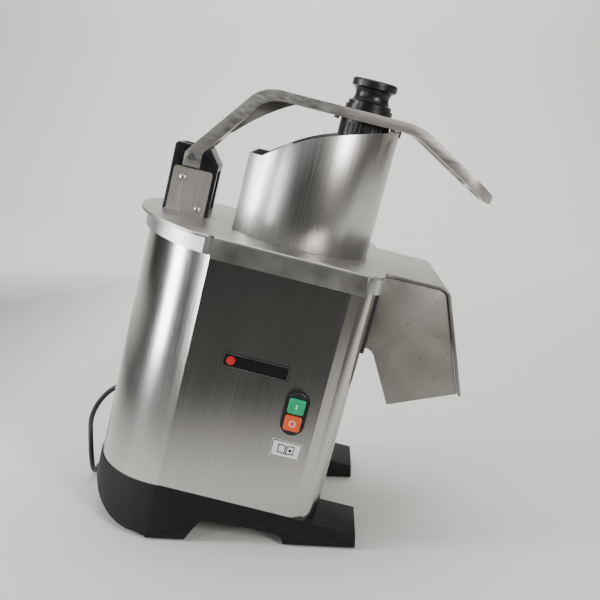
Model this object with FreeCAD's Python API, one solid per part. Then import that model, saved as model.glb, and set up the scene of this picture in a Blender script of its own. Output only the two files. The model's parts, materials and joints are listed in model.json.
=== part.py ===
"""Bench-top vegetable dicer: a leaning steel body on a black base, a hinged lid with a feed hopper,
a press lever with a round pusher, a cutting chamber with a front chute, and a belt drive inside."""
import FreeCAD, Part
import os
from math import asin, cos, degrees, pi, radians, sin, sqrt, tan
from FreeCAD import Vector

# Two frames are used, both in millimetres.
# Machine frame: origin on the cutting shaft's axis at the top plane of the base, X towards the chute,
# Y towards the side away from the switch, Z up along the leaning body.
# Bench frame: the same origin straight down on the bench, Z up, and the body leans forward in it.

# ---- stance -------------------------------------------------------------------------------------
lean_angle = 12.0            # the body leans this far forward, in degrees
axis_height = 54.0           # height of the machine frame's origin above the bench
rear_seam_height = 72.0      # the steel comes down to this height above the bench at the back
far = 900.0                  # size of the blocks that only cut
skin = 0.3                   # air left between neighbours that do not touch

# ---- sizes that the others follow ---------------------------------------------------------------
shell_height = 293.0
shell_half_width = 139.5
bowl_radius = 104.0          # inside of the cutting chamber
shaft_radius = 8.5
tube_radius = 31.5           # outside of the round feed tube

# ---- cutting chamber ----------------------------------------------------------------------------
bowl_wall = 4.5
bowl_depth = 93.0            # from the lid down to the underside of the bowl's floor
bowl_floor_thickness = 4.0
chute_half_width = bowl_radius - 9.0
cheek_thickness = 5.0
gasket_thickness = 6.0
gasket_overlap = 6.0

# ---- body shell ---------------------------------------------------------------------------------
shell_wall = 1.5
rear_arc_x = -36.0           # centre of the round back
shell_rear_radius = shell_half_width + 9.5
shell_front = bowl_radius + bowl_wall + 0.5
front_crease_x = shell_front - 30.0
corner_start_x = shell_front - 18.0
corner_step = 4.5            # the side steps in this much between the two front creases
corner_width = shell_half_width - corner_step - chute_half_width - gasket_overlap - 12.0
vent_count = 7
vent_length = 44.0
vent_height = 3.2
vent_pitch = 9.0
vent_low = 36.0

# ---- cast rim -----------------------------------------------------------------------------------
rim_height = 19.0
rim_half_width = shell_half_width + 2.5
rim_rear_radius = shell_rear_radius + 6.0
rim_front = shell_front + gasket_thickness
rim_wall = 9.0
deck_thickness = 4.0
lug_radius = 5.0             # three lugs in the bowl carry the dicing grid
lug_height = 8.0

# ---- lid and chute cover ------------------------------------------------------------------------
lid_thickness = 3.5
lid_half_width = rim_half_width + 4.0
lid_rear_radius = rim_rear_radius + 9.0
skirt_thickness = 3.0
skirt_drop = 22.0
skirt_roll = 2.8
skirt_start_x = -88.0
skirt_end_x = rim_front - 20.0
cover_half_width = chute_half_width + 3.0
cover_bend_x = rim_front + 68.0

# ---- feed hopper --------------------------------------------------------------------------------
hopper_radius = bowl_radius - 8.0
hopper_wall = 1.5
hopper_back_x = -78.0
hopper_back_height = 96.5    # above the lid
hopper_front_height = 163.5
bumper_half_width = 9.0

# ---- lever, its pivot and its block -------------------------------------------------------------
pivot_x = -148.5
pivot_height = 71.5          # above the lid
pivot_pin_radius = 4.5
pin_clearance = 0.05
block_rear_x = pivot_x - 24.5
block_front_x = pivot_x + 34.0
block_half_width = 22.5
block_height = 85.5
plate_thickness = 2.0
plate_rear_x = pivot_x - 20.1
plate_front_x = pivot_x + 29.5
arm_gap = 1.0                # between a hinge plate and the lever's arm
arm_thickness = 6.5
lever_thickness = 12.5
lever_half_width = tube_radius + 14.5
lever_underside = 163.5      # above the lid
lever_slope = 28.8           # the grip droops this much, in degrees
fork_gap_radius = 38.0
grip_bar_width = 15.0
web_thickness = 9.0
screw_head_radius = 4.5
screw_head_height = 2.4
screw_shank_radius = 2.5

# ---- round feed tube and pusher -----------------------------------------------------------------
tube_setback = 13.5          # from the tube to the hopper's front wall
tube_x = hopper_radius - tube_setback - tube_radius
tube_bore = tube_radius - 4.5
collar_radius = tube_radius - 1.5
collar_height = 6.5
pusher_clearance = 0.4
pusher_wall = 2.5
knob_height = 32.5
press_plate_radius = hopper_radius - 12.0
press_plate_back_x = hopper_back_x + 8.0
press_plate_thickness = 5.0
press_plate_gap = 10.5       # above the lid
press_rib_height = 9.0
flute_count = 28
flute_radius = 1.6

# ---- cutting set --------------------------------------------------------------------------------
disc_radius = bowl_radius - 2.5
disc_thickness = 4.0
disc_drop = 8.0              # top of the disc below the lid's underside
blade_inner = 24.0
grid_height = 12.0
grid_pitch = 14.0
grid_bar = 1.6
grid_radius = bowl_radius - 1.0
grid_hub_radius = shaft_radius + 11.5
ejector_thickness = 4.0
ejector_radius = bowl_radius - 4.0
vane_height = 24.0

# ---- drive --------------------------------------------------------------------------------------
shaft_drop = 62.0            # the shaft's lower end below the bowl's floor
bearing_outer_radius = shaft_radius + 9.0
bearing_width = 10.0
housing_radius = bearing_outer_radius + 6.5
housing_screw_circle = 30.0
driven_pulley_radius = 70.0
motor_pulley_radius = 22.0
pulley_drop = 58.0           # the pulleys' lower faces below the bowl's floor
pulley_width = 18.0
groove_count = 4
groove_pitch = 3.6
groove_depth = 1.2
belt_thickness = 3.0
belt_air = 0.3
motor_x = -112.0
motor_radius = 60.0
motor_wall = 3.0
motor_length = 130.0
motor_cap = 10.0
motor_shaft_radius = 7.0
motor_bearing_radius = 14.0
motor_fin_count = 16
fan_blade_count = 8
rotor_radius = 35.0
rotor_air = 0.6
deck_plate_thickness = 5.0
plate_half_width = shell_half_width - 48.5
post_reach = 62.0            # the spacer posts stand this far from the shaft, both ways
capacitor_x = 48.0
capacitor_y = shell_half_width - 47.5
capacitor_radius = 17.0

# ---- switch and front labels --------------------------------------------------------------------
switch_x = 51.0
switch_z = 134.0
bezel_width = 29.0
bezel_height = 57.0
bezel_depth = 4.0
button_width = 20.0
button_height = 19.0
button_gap = 2.5
button_rise = 3.2
button_travel = 3.0
button_clearance = 0.3
start_button_rise = 8.5      # centre of the start button above the middle of the bezel
badge_x = -7.0
badge_z = 177.0
badge_width = 80.0
badge_height = 18.0
badge_thickness = 1.6
label_x = 51.6
label_z = 84.7
label_width = 36.7
label_height = 22.0
label_thickness = 0.4

# ---- lid hinge and latch ------------------------------------------------------------------------
lid_hinge_angle = 45.0       # round the back towards the far side, in degrees
lid_hinge_radius = rim_rear_radius + 16.0
lid_hinge_drop = 13.0        # the hinge's axis below the lid's underside
lid_knuckle_radius = 5.5
lid_pin_radius = 3.0
lid_knuckle_length = 24.0
latch_x = 52.0
latch_width = 22.0
latch_thickness = 3.0
latch_pin_radius = 2.0
latch_pivot_y = lid_half_width + 5.0
latch_pivot_drop = 36.0      # the latch's axis below the lid's underside
latch_rest_angle = 8.0       # how far the hook stands off the lid's edge, in degrees

# ---- base ---------------------------------------------------------------------------------------
base_wall = 4.0
base_reveal = 1.5            # the base stands this far out from the steel
base_half_width = shell_half_width + base_reveal
leg_inner = 66.0
tub_floor_height = 31.0
foot_pad_height = 3.0
foot_pad_radius = 11.0

# ---- cord ---------------------------------------------------------------------------------------
cord_radius = 3.5
gland_angle = 25.0           # round the back towards the far side, in degrees
gland_z = 54.0
gland_droop = 40.0           # the strain relief points this far below the lid's plane
gland_turn = 10.0
gland_length = 26.0
coil_mean_radius = 40.0
coil_half_width = 10.5
coil_height = 13.5
coil_ahead = 118.73          # centre of the coil from the strain relief's mouth
coil_aside = 145.57

# ---- sizes that follow from the others ----------------------------------------------------------
shell_rear_x = rear_arc_x - shell_rear_radius
lid_low_z = shell_height + rim_height
lid_top_z = lid_low_z + lid_thickness
disc_top_z = lid_low_z - disc_drop
pivot_z = lid_top_z + pivot_height
lever_low_z = lid_top_z + lever_underside
lever_top_z = lever_low_z + lever_thickness
bowl_floor_z = lid_low_z - bowl_depth
bowl_inside_z = bowl_floor_z + bowl_floor_thickness
shaft_low_z = bowl_floor_z - shaft_drop
pulley_low_z = bowl_floor_z - pulley_drop
deck_plate_z = pulley_low_z - 11.0
motor_high_z = deck_plate_z - motor_cap
motor_low_z = motor_high_z - motor_length
lid_hinge_z = lid_low_z - lid_hinge_drop
lid_hinge_x = rear_arc_x - lid_hinge_radius
latch_pivot_z = lid_low_z - latch_pivot_drop
lean = radians(lean_angle)
base_rear_x = shell_rear_x * cos(lean) - 19.04
toe_x = shell_front + 48.0   # front end of the front feet, in the bench frame


# ---- helpers ------------------------------------------------------------------------------------
def block(x0, x1, y0, y1, z0, z1):
    """A box between three pairs of limits."""
    return Part.makeBox(x1 - x0, y1 - y0, z1 - z0, Vector(x0, y0, z0))


def rod(radius, low, high, x=0.0, y=0.0):
    """A solid cylinder along Z."""
    return Part.makeCylinder(radius, high - low, Vector(x, y, low))


def ring(outer, inner, low, high, x=0.0, y=0.0):
    """A hollow cylinder along Z."""
    return rod(outer, low, high, x, y).cut(rod(inner, low - 1, high + 1, x, y))


def rod_y(radius, y0, y1, x, z):
    """A solid cylinder along Y."""
    return Part.makeCylinder(radius, y1 - y0, Vector(x, y0, z), Vector(0, 1, 0))


def outline(steps):
    """A closed wire from a start point, then lines ('to', point) and arcs ('by', middle, end)."""
    edges = []
    here = steps[0]
    for step in steps[1:]:
        if step[0] == "to":
            edges.append(Part.LineSegment(here, step[1]).toShape())
            here = step[1]
        else:
            edges.append(Part.Arc(here, step[1], step[2]).toShape())
            here = step[2]
    if here.distanceToPoint(steps[0]) > 1e-6:
        edges.append(Part.LineSegment(here, steps[0]).toShape())
    return Part.Wire(edges)


def upright(wire, low, high):
    """A prism along Z of a wire that lies in the plane Z = 0."""
    face = Part.Face(wire)
    face.translate(Vector(0, 0, low))
    return face.extrude(Vector(0, 0, high - low))


def across(wire, y0, y1):
    """A prism along Y of a wire that lies in the plane Y = 0."""
    face = Part.Face(wire)
    face.translate(Vector(0, y0, 0))
    return face.extrude(Vector(0, y1 - y0, 0))


def p(x, y):
    """A point of a plan outline."""
    return Vector(x, y, 0)


def s(x, z):
    """A point of a side outline."""
    return Vector(x, 0, z)


def join(shapes):
    """One solid from shapes that touch or overlap."""
    whole = shapes[0].fuse(shapes[1:])
    return whole.removeSplitter()


def group(shapes):
    """Several separate solids in one node."""
    return Part.makeCompound(shapes)


def leaned(shape):
    """A copy of a shape, taken from the machine frame to the bench frame."""
    copy = shape.copy()
    copy.rotate(Vector(0, 0, 0), Vector(0, 1, 0), lean_angle)
    copy.translate(Vector(0, 0, axis_height))
    return copy


def unleaned(shape):
    """A copy of a shape, taken from the bench frame to the machine frame."""
    copy = shape.copy()
    copy.translate(Vector(0, 0, -axis_height))
    copy.rotate(Vector(0, 0, 0), Vector(0, 1, 0), -lean_angle)
    return copy


def leaned_point(point):
    """A point taken from the machine frame to the bench frame."""
    x = cos(lean) * point.x + sin(lean) * point.z
    z = -sin(lean) * point.x + cos(lean) * point.z + axis_height
    return Vector(x, point.y, z)


# ---- plans of the body --------------------------------------------------------------------------
def body_plan(half_width, rear_radius, front):
    """The body's plan: a round back, flat sides with a crease, and rounded front corners."""
    back_x = rear_arc_x - sqrt(rear_radius ** 2 - half_width ** 2)
    grow = front - shell_front
    side = half_width - corner_step
    corner_x = corner_start_x + grow / 2
    corner_y = side - corner_width
    middle = p(corner_x + 0.72 * (front - corner_x), side - 0.30 * corner_width)
    mirror = p(middle.x, -middle.y)
    return outline([
        p(back_x, half_width),
        ("to", p(front_crease_x, half_width)),
        ("to", p(corner_x, side)),
        ("by", middle, p(front, corner_y)),
        ("to", p(front, -corner_y)),
        ("by", mirror, p(corner_x, -side)),
        ("to", p(front_crease_x, -half_width)),
        ("to", p(back_x, -half_width)),
        ("by", p(rear_arc_x - rear_radius, 0), p(back_x, half_width))])


def shell_plan(inset):
    """The steel shell's plan, a given distance inside its outer face."""
    return body_plan(shell_half_width - inset, shell_rear_radius - inset, shell_front - inset)


def steel_zone():
    """The space above the base: over its leaning top plane, or over its level back edge."""
    over_plane = block(-far, far, -far, far, 0, far)
    over_level = unleaned(block(-far, far, -far, far, rear_seam_height, far))
    return over_plane.fuse(over_level)


# ---- body shell ---------------------------------------------------------------------------------
def make_body_shell():
    low = -80.0
    wrap = upright(shell_plan(0), low, shell_height)
    wrap = wrap.cut(upright(shell_plan(shell_wall), low - 1, shell_height + 1))
    chute_gap = block(shell_front - 20, shell_front + 1, -chute_half_width, chute_half_width,
                      bowl_floor_z, shell_height + 1)
    cuts = [chute_gap]
    window = switch_window(bezel_width - 5, bezel_height - 5)
    cuts.append(window)
    for number in range(vent_count):
        z = vent_low + number * vent_pitch
        slot = block(-vent_length, 0, shell_half_width - 5, shell_half_width + 5, z, z + vent_height)
        cuts.append(slot)
    cuts.append(gland_bar(cord_radius + 4.5, -10, 10))
    wrap = wrap.cut(cuts)
    return wrap.common(steel_zone())


def switch_window(width, height):
    """A bar through the near side with the rounded outline of the switch."""
    side = (height - width) / 2
    half = width / 2
    wire = outline([
        s(switch_x - half, switch_z - side),
        ("to", s(switch_x - half, switch_z + side)),
        ("by", s(switch_x, switch_z + side + half), s(switch_x + half, switch_z + side)),
        ("to", s(switch_x + half, switch_z - side)),
        ("by", s(switch_x, switch_z - side - half), s(switch_x - half, switch_z - side))])
    return across(wire, -shell_half_width - 30, -shell_half_width + 20)


def gland_bar(radius, inner, outer):
    """A round bar along the cord's exit, measured from its centre on the steel's face."""
    way = gland_way()
    return Part.makeCylinder(radius, outer - inner, gland_face() + way * inner, way)


def gland_face():
    """The middle of the cord's exit on the round back."""
    angle = radians(gland_angle)
    return Vector(rear_arc_x - shell_rear_radius * cos(angle), shell_rear_radius * sin(angle), gland_z)


def gland_way():
    """The direction in which the cord leaves: outward and drooping."""
    droop = radians(gland_droop)
    turn = radians(gland_turn)
    return Vector(-cos(droop) * cos(turn), cos(droop) * sin(turn), -sin(droop))


# ---- base ---------------------------------------------------------------------------------------
def leg_side():
    """Side outline of the base with its two feet and the arch between them, in the bench frame."""
    back = base_rear_x
    toe = toe_x
    return outline([
        s(back, 130),
        ("to", s(back, 60)),
        ("by", s(back + 33, 19), s(back + 82, 7)),
        ("to", s(back + 96, 5)),
        ("to", s(back + 98, foot_pad_height)),
        ("to", s(back + 146, foot_pad_height)),
        ("by", s(back + 155, 15), s(back + 169, tub_floor_height)),
        ("to", s(10, 25)),
        ("to", s(toe - 102, 17)),
        ("by", s(toe - 93, 13), s(toe - 89, foot_pad_height)),
        ("to", s(toe, foot_pad_height)),
        ("to", s(toe - 0.5, 26)),
        ("by", s(toe - 5, 42), s(toe - 20, 49.5)),
        ("to", s(toe - 52, 57)),
        ("to", s(toe - 52, 130))])


def base_block(growth, side):
    """The base's outer form, or its inner form with a negative growth, under both seam planes."""
    plan = body_plan(shell_half_width + growth, shell_rear_radius + growth, shell_front + growth)
    form = upright(plan, -130, 60)
    form = leaned(form.cut(steel_zone()))
    return form.common(side)


def make_base_housing():
    profile = across(leg_side(), -base_half_width, base_half_width)
    tub = base_block(base_reveal, profile)
    seam_keep = leaned(block(-far, far, -far, far, -far, 0))
    toes = across(leg_side(), -base_half_width, base_half_width).common(seam_keep)
    toes = toes.common(block(toe_x - 87, toe_x + 43, -base_half_width, base_half_width, 0, 56))
    body = join([tub, toes])
    tunnel = block(base_rear_x + 105, far, -leg_inner, leg_inner, -10, tub_floor_height)
    nose_x = leaned_point(Vector(shell_front + base_reveal, 0, 0)).x - 1.5
    nose = block(nose_x, far, -leg_inner, leg_inner, -10, 100)
    inner = block(-far, far, -far, far, tub_floor_height + base_wall, far)
    inner = base_block(-base_wall, inner)
    body = body.cut([tunnel, nose])
    body = body.cut(inner)
    pads = [rod(2.6, -1, 14, x, y) for x, y in pad_places()]
    return body.cut(pads)


def pad_places():
    """Where the four rubber feet sit, in the bench frame."""
    side = (leg_inner + base_half_width) / 2 + 4
    return [(x, y) for x in (base_rear_x + 121, toe_x - 17) for y in (-side, side)]


def make_foot_pads():
    pads = []
    for x, y in pad_places():
        puck = Part.makeCone(foot_pad_radius - 1.5, foot_pad_radius, foot_pad_height, Vector(x, y, 0))
        stem = rod(2.5, foot_pad_height - 1, 13, x, y)
        recess = rod(5.0, -1, 1.2, x, y)
        pads.append(puck.fuse(stem).cut(recess))
    return group(pads)


# ---- cutting chamber ----------------------------------------------------------------------------
def make_bowl_casting():
    rim = upright(body_plan(rim_half_width, rim_rear_radius, rim_front), shell_height, lid_low_z)
    pocket = upright(body_plan(rim_half_width - rim_wall, rim_rear_radius - rim_wall,
                               rim_front - rim_wall), shell_height - 1, lid_low_z - deck_thickness)
    rim = rim.cut(pocket)
    wall = rod(bowl_radius + bowl_wall, bowl_floor_z, lid_low_z)
    duct = block(0, rim_front, -chute_half_width, chute_half_width, bowl_floor_z,
                 shell_height + rim_height)
    casting = join([rim, wall, duct])
    chamber = rod(bowl_radius, bowl_inside_z, lid_low_z + 1)
    inside = chute_half_width - cheek_thickness
    way_out = block(0, rim_front + 1, -inside, inside, bowl_inside_z, shell_height)
    hub_hole = rod(housing_radius, bowl_floor_z - 1, bowl_inside_z + 1)
    bolts = [rod(2.2, bowl_floor_z - 1, bowl_inside_z + 1, *place)
             for place in housing_screw_places()]
    posts = [rod(2.5, bowl_floor_z - 1, bowl_inside_z + 1, x, y) for x, y in post_places()]
    casting = casting.cut([chamber, way_out, hub_hole] + bolts + posts)
    lugs = []
    for turn in (100, 180, 260):
        x = (bowl_radius - 1.5) * cos(radians(turn))
        y = (bowl_radius - 1.5) * sin(radians(turn))
        lugs.append(rod(lug_radius, grid_low_z() - lug_height, grid_low_z(), x, y))
    return join([casting] + lugs)


def quarter_turns(start):
    """Four angles a quarter turn apart, in radians."""
    return [radians(start + 90 * number) for number in range(4)]


def housing_screw_places():
    """The four screws of the bearing housing, round the shaft."""
    return [(housing_screw_circle * cos(a), housing_screw_circle * sin(a)) for a in quarter_turns(45)]


def post_places():
    """Where the four spacer posts of the drive plate stand."""
    return [(side * post_reach, end * post_reach) for side in (1, -1) for end in (1, -1)]


def cheek_side(gap):
    """Side outline of a chute cheek. The gap keeps its front and top edges under the cover."""
    x = rim_front
    bend = cover_bend_x - gap
    top = lid_top_z - gap
    low = bowl_floor_z
    return outline([
        s(x, low),
        ("to", s(x, lid_low_z - gap)),
        ("to", s(bend, lid_low_z - gap)),
        ("by", s(bend + 8.0, top - 5.9), s(bend + 12.4, top - 12.5)),
        ("to", s(bend + 56.6, lid_top_z - 124.9)),
        ("to", s(x + 45.0, low - 63.0)),
        ("to", s(x + 14.5, low - 9.0)),
        ("by", s(x + 10.6, low - 3.4), s(x + 4.0, low))])


def make_discharge_chute():
    gap = 0.5
    form = across(cheek_side(gap), -chute_half_width, chute_half_width)
    inside = chute_half_width - cheek_thickness
    x = rim_front
    low = bowl_inside_z
    floor_drop = outline([
        s(x - 1, low),
        ("to", s(x - 1, lid_top_z)),
        ("to", s(x + 165, lid_top_z)),
        ("to", s(x + 165, low - 73)),
        ("to", s(x + 55, low - 77)),
        ("to", s(x + 19, low - 9.5)),
        ("by", s(x + 14.2, low - 3.2), s(x + 6, low))])
    form = form.cut(across(floor_drop, -inside, inside))
    bolts = []
    for y in (-chute_half_width + 2.5, chute_half_width - 2.5):
        start = Vector(rim_front - 1, y, bowl_floor_z + 31)
        bolts.append(Part.makeCylinder(1.1, 12, start, Vector(1, 0, 0)))
    return form.cut(bolts)


def make_chute_gasket():
    outer = chute_half_width + gasket_overlap
    frame = block(shell_front, rim_front, -outer, outer, bowl_floor_z - gasket_overlap, shell_height)
    hole = block(shell_front - 1, rim_front + 1, -chute_half_width, chute_half_width,
                 bowl_floor_z, shell_height + 1)
    return frame.cut(hole)


# ---- lid ----------------------------------------------------------------------------------------
def lid_plan():
    """The lid's plan: round back, straight sides, then a step in to the chute cover."""
    back_x = rear_arc_x - sqrt(lid_rear_radius ** 2 - lid_half_width ** 2)
    w = lid_half_width
    c = cover_half_width
    x = rim_front
    return outline([
        p(back_x, w),
        ("to", p(skirt_end_x - 3, w)),
        ("by", p(x - 8, w - 7), p(x - 2, w - 21)),
        ("to", p(x, c + 11)),
        ("by", p(x + 3, c + 3.2), p(x + 11, c)),
        ("to", p(cover_bend_x, c)),
        ("to", p(cover_bend_x, -c)),
        ("to", p(x + 11, -c)),
        ("by", p(x + 3, -c - 3.2), p(x, -c - 11)),
        ("to", p(x - 2, -w + 21)),
        ("by", p(x - 8, -w + 7), p(skirt_end_x - 3, -w)),
        ("to", p(back_x, -w)),
        ("by", p(rear_arc_x - lid_rear_radius, 0), p(back_x, w))])


def cover_side():
    """Side outline of the bent front of the chute cover, with its rounded lip."""
    x = cover_bend_x
    top = lid_top_z
    return outline([
        s(x - 0.5, lid_low_z),
        ("to", s(x - 0.5, top)),
        ("to", s(x, top)),
        ("by", s(x + 11.0, top - 3.1), s(x + 16.6, top - 10.9)),
        ("to", s(x + 60.9, top - 123.5)),
        ("by", s(x + 60.0, top - 126.3), s(x + 57.6, top - 125.5)),
        ("to", s(x + 13.1, top - 12.3)),
        ("by", s(x + 8.4, top - 5.6), s(x, lid_low_z))])


def make_lid_plate():
    plate = upright(lid_plan(), lid_low_z, lid_top_z)
    cover = across(cover_side(), -cover_half_width, cover_half_width)
    pieces = [plate, cover]
    for side in (-1, 1):
        outer = side * lid_half_width
        inner = side * (lid_half_width - skirt_thickness)
        pieces.append(block(skirt_start_x, skirt_end_x, min(outer, inner), max(outer, inner),
                            lid_low_z - skirt_drop, lid_low_z + 1))
    lid = join(pieces)
    lid = lid.cut([rolled_edge(-1), rolled_edge(1)])
    notch = []
    for side in (-1, 1):
        y = side * lid_half_width
        notch.append(block(skirt_start_x - 6, skirt_start_x, y - 6, y + 6, lid_low_z - 1, lid_top_z + 1))
    screws = [rod(screw_shank_radius, lid_low_z - 1, lid_top_z + 1, x, y) for x, y in foot_screws()]
    return lid.cut([upright(hopper_plan(hopper_wall), lid_low_z - 1, lid_top_z + 1)] + notch + screws)


def rolled_edge(side):
    """What is cut away to round the lid's long top edge over a skirt."""
    r = skirt_roll
    outer = side * lid_half_width
    inner = side * (lid_half_width - r)
    corner = block(-130, skirt_end_x - 3, min(outer, inner) - (side < 0), max(outer, inner) + (side > 0),
                   lid_top_z - r, lid_top_z + 1)
    bar = Part.makeCylinder(r, far, Vector(-far / 2, inner, lid_top_z - r), Vector(1, 0, 0))
    return corner.cut(bar)


def foot_screws():
    """Where the screws come up through the lid into the hinge block."""
    middle = (block_rear_x + block_front_x) / 2
    return [(middle - 17, 0.0), (middle + 17, 0.0)]


def hopper_plan(inset):
    """The hopper's plan: a circle with a flat back."""
    radius = hopper_radius - inset
    back = hopper_back_x + inset
    half = sqrt(radius ** 2 - back ** 2)
    return outline([p(back, half), ("to", p(back, -half)), ("by", p(radius, 0), p(back, half))])


def make_feed_hopper():
    top = lid_top_z + hopper_front_height + 5
    tub = upright(hopper_plan(0), lid_top_z, top)
    tub = tub.cut(upright(hopper_plan(hopper_wall), lid_top_z - 1, top + 1))
    back_z = lid_top_z + hopper_back_height
    front_z = lid_top_z + hopper_front_height
    rise = Part.BSplineCurve()
    rise.interpolate([s(-62, back_z), s(-46, back_z + 11.5), s(-14, back_z + 31),
                      s(35, back_z + 49.5), s(hopper_radius, front_z - 0.6)])
    corners = [s(hopper_radius, front_z - 0.6), s(hopper_radius + 9, front_z - 0.6),
               s(hopper_radius + 9, top + 9), s(-120, top + 9), s(-120, back_z), s(-62, back_z)]
    edges = [rise.toShape()]
    for here, there in zip(corners, corners[1:]):
        edges.append(Part.LineSegment(here, there).toShape())
    tub = tub.cut(across(Part.Wire(edges), -far / 4, far / 4))
    return tub.cut(bumper_seat())


def bumper_seat():
    """The notch in the hopper's front rim that the bumper sits in."""
    front_z = lid_top_z + hopper_front_height
    return block(hopper_radius - 12, hopper_radius + 3, -bumper_half_width, bumper_half_width,
                 front_z - 3.5, front_z + 9)


def make_lever_bumper():
    top = lever_low_z - skin
    pad = ring(hopper_radius + 2.0, hopper_radius - hopper_wall - 2.0, top - 8.0, top)
    pad = pad.common(block(0, far, -bumper_half_width, bumper_half_width, 0, far))
    return pad.cut([make_feed_hopper()])


# ---- hinge block of the lever -------------------------------------------------------------------
def make_hinge_block():
    top = lid_top_z + block_height
    side = outline([
        s(block_rear_x, lid_top_z),
        ("to", s(block_rear_x, top - 3)),
        ("to", s(block_rear_x + 3, top)),
        ("to", s(block_front_x - 14, top)),
        ("to", s(block_front_x - 3, top - 15)),
        ("to", s(block_front_x, top - 18)),
        ("to", s(block_front_x, lid_top_z))])
    form = across(side, -block_half_width, block_half_width)
    recess = block(block_rear_x + 7, block_front_x - 17, -14, 14, top - 12, top + 1)
    pin_hole = rod_y(pivot_pin_radius + pin_clearance, -far / 4, far / 4, pivot_x, pivot_z)
    screws = [rod_y(screw_shank_radius, -far / 4, far / 4, x, z) for x, z in plate_screws()]
    feet = [rod(screw_shank_radius, lid_top_z - 1, lid_top_z + 16, x, y) for x, y in foot_screws()]
    front = block(block_front_x - 5, block_front_x + 1, -13, 13, lid_top_z + 9, top - 26)
    return form.cut([recess, pin_hole, front] + screws + feet)


def plate_screws():
    """Screw centres on the hinge plates, seen from the side."""
    return [(pivot_x - 6.5, lid_top_z + 43.5), (pivot_x + 19.8, lid_top_z + 7.5)]


def make_hinge_plate(side):
    """A stainless plate on one side of the hinge block, with a small bent foot at the back."""
    low = lid_top_z
    wire = outline([
        s(plate_rear_x, low),
        ("to", s(plate_rear_x, low + 52)),
        ("by", s(plate_rear_x + 1.2, low + 55.2), s(plate_rear_x + 4.2, low + 56.6)),
        ("to", s(plate_front_x - 4.0, low + 57.0)),
        ("by", s(plate_front_x - 1.2, low + 55.8), s(plate_front_x, low + 53.0)),
        ("to", s(plate_front_x, low))])
    inner = block_half_width
    outer = block_half_width + plate_thickness
    plate = across(wire, inner, outer)
    foot = block(plate_rear_x, plate_rear_x + 18.6, outer - 0.5, outer + 7, low, low + plate_thickness)
    plate = join([plate, foot])
    holes = [rod_y(screw_shank_radius, 0, far / 4, x, z) for x, z in plate_screws()]
    plate = plate.cut(holes)
    if side < 0:
        plate = plate.mirror(Vector(0, 0, 0), Vector(0, 1, 0))
    return plate


def dome_screw(head_radius, head_height, shank_radius, shank_length, socket_radius):
    """A domed socket screw along Z with its head's underside at Z = 0."""
    ball = (head_radius ** 2 + head_height ** 2) / (2 * head_height)
    head = Part.makeSphere(ball, Vector(0, 0, head_height - ball))
    head = head.common(rod(head_radius, 0, head_height + 1))
    shank = rod(shank_radius, -shank_length, 0.2)
    socket = rod(socket_radius, head_height * 0.35, head_height + 1)
    return head.fuse(shank).cut(socket)


def placed(shape, point, axis):
    """A copy of a shape built along Z, turned to point along an axis and moved to a point."""
    copy = shape.copy()
    turn = FreeCAD.Rotation(Vector(0, 0, 1), axis)
    copy.Placement = FreeCAD.Placement(point, turn).multiply(copy.Placement)
    return copy


def make_hinge_screws():
    screw = dome_screw(screw_head_radius, screw_head_height, screw_shank_radius, 10, 1.5)
    outer = block_half_width + plate_thickness
    screws = []
    for x, z in plate_screws():
        for side in (-1, 1):
            screws.append(placed(screw, Vector(x, side * outer, z), Vector(0, side, 0)))
    for x, y in foot_screws():
        stub = rod(screw_shank_radius, lid_low_z, lid_top_z + 15, x, y)
        screws.append(stub)
    return group(screws)


# ---- lever --------------------------------------------------------------------------------------
def lever_side():
    """Side outline of the lever: upright arm, sloping neck, level run and drooping grip."""
    top = lever_top_z
    low = lever_low_z
    t = lever_thickness
    slope = radians(lever_slope)
    rim = hopper_radius
    x = pivot_x
    start = s(rim + 38, top - 9.5)
    tip = s(rim + 130, start.z - 92 * tan(slope))
    drop = Vector(-sin(slope) * t, 0, -cos(slope) * t)
    tip_middle = tip + drop * 0.5 + Vector(cos(slope), 0, -sin(slope)) * (t / 2)
    return outline([
        s(x - 9.5, pivot_z - 12.5),
        ("to", s(x - 9.5, pivot_z + 4)),
        ("to", s(x + 0.8, pivot_z + 18.5)),
        ("to", s(x + 56.2, top - 13.6)),
        ("by", s(x + 72.5, top - 3.2), s(x + 96.5, top)),
        ("to", s(rim + 2, top)),
        ("by", s(rim + 21, top - 2.5), start),
        ("to", tip),
        ("by", tip_middle, tip + drop),
        ("to", start + drop),
        ("by", s(rim + 18, low - 1.8), s(rim + 2, low)),
        ("to", s(x + 100.5, low)),
        ("by", s(x + 82.5, low - 2.6), s(x + 68, low - 11.5)),
        ("to", s(x + 12, pivot_z + 7)),
        ("to", s(x + 12, pivot_z - 12.5))])


def arm_inner():
    """Half the clear width between the lever's two arms."""
    return block_half_width + plate_thickness + arm_gap


def lever_plan():
    """Plan of the lever: narrow at the fork, widening to the ring and the looped grip."""
    arm = arm_inner() + arm_thickness
    w = lever_half_width
    turn_x = hopper_radius + 90
    return outline([
        p(pivot_x - 21.5, arm),
        ("to", p(pivot_x + 30.5, arm)),
        ("to", p(0, w - 2)),
        ("by", p(22, w), p(45, w)),
        ("to", p(turn_x, w)),
        ("by", p(turn_x + 46.5, 0), p(turn_x, -w)),
        ("to", p(45, -w)),
        ("by", p(22, -w), p(0, -w + 2)),
        ("to", p(pivot_x + 30.5, -arm)),
        ("to", p(pivot_x - 21.5, -arm))])


def grip_opening():
    """Plan of the hand opening in the grip."""
    w = lever_half_width - grip_bar_width
    start_x = hopper_radius + 22
    turn_x = hopper_radius + 90
    return outline([
        p(start_x, w - 12),
        ("by", p(start_x + 3.5, w - 3.5), p(start_x + 12, w)),
        ("to", p(turn_x, w)),
        ("by", p(turn_x + 31, 0), p(turn_x, -w)),
        ("to", p(start_x + 12, -w)),
        ("by", p(start_x + 3.5, -w + 3.5), p(start_x, -w + 12))])


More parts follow.
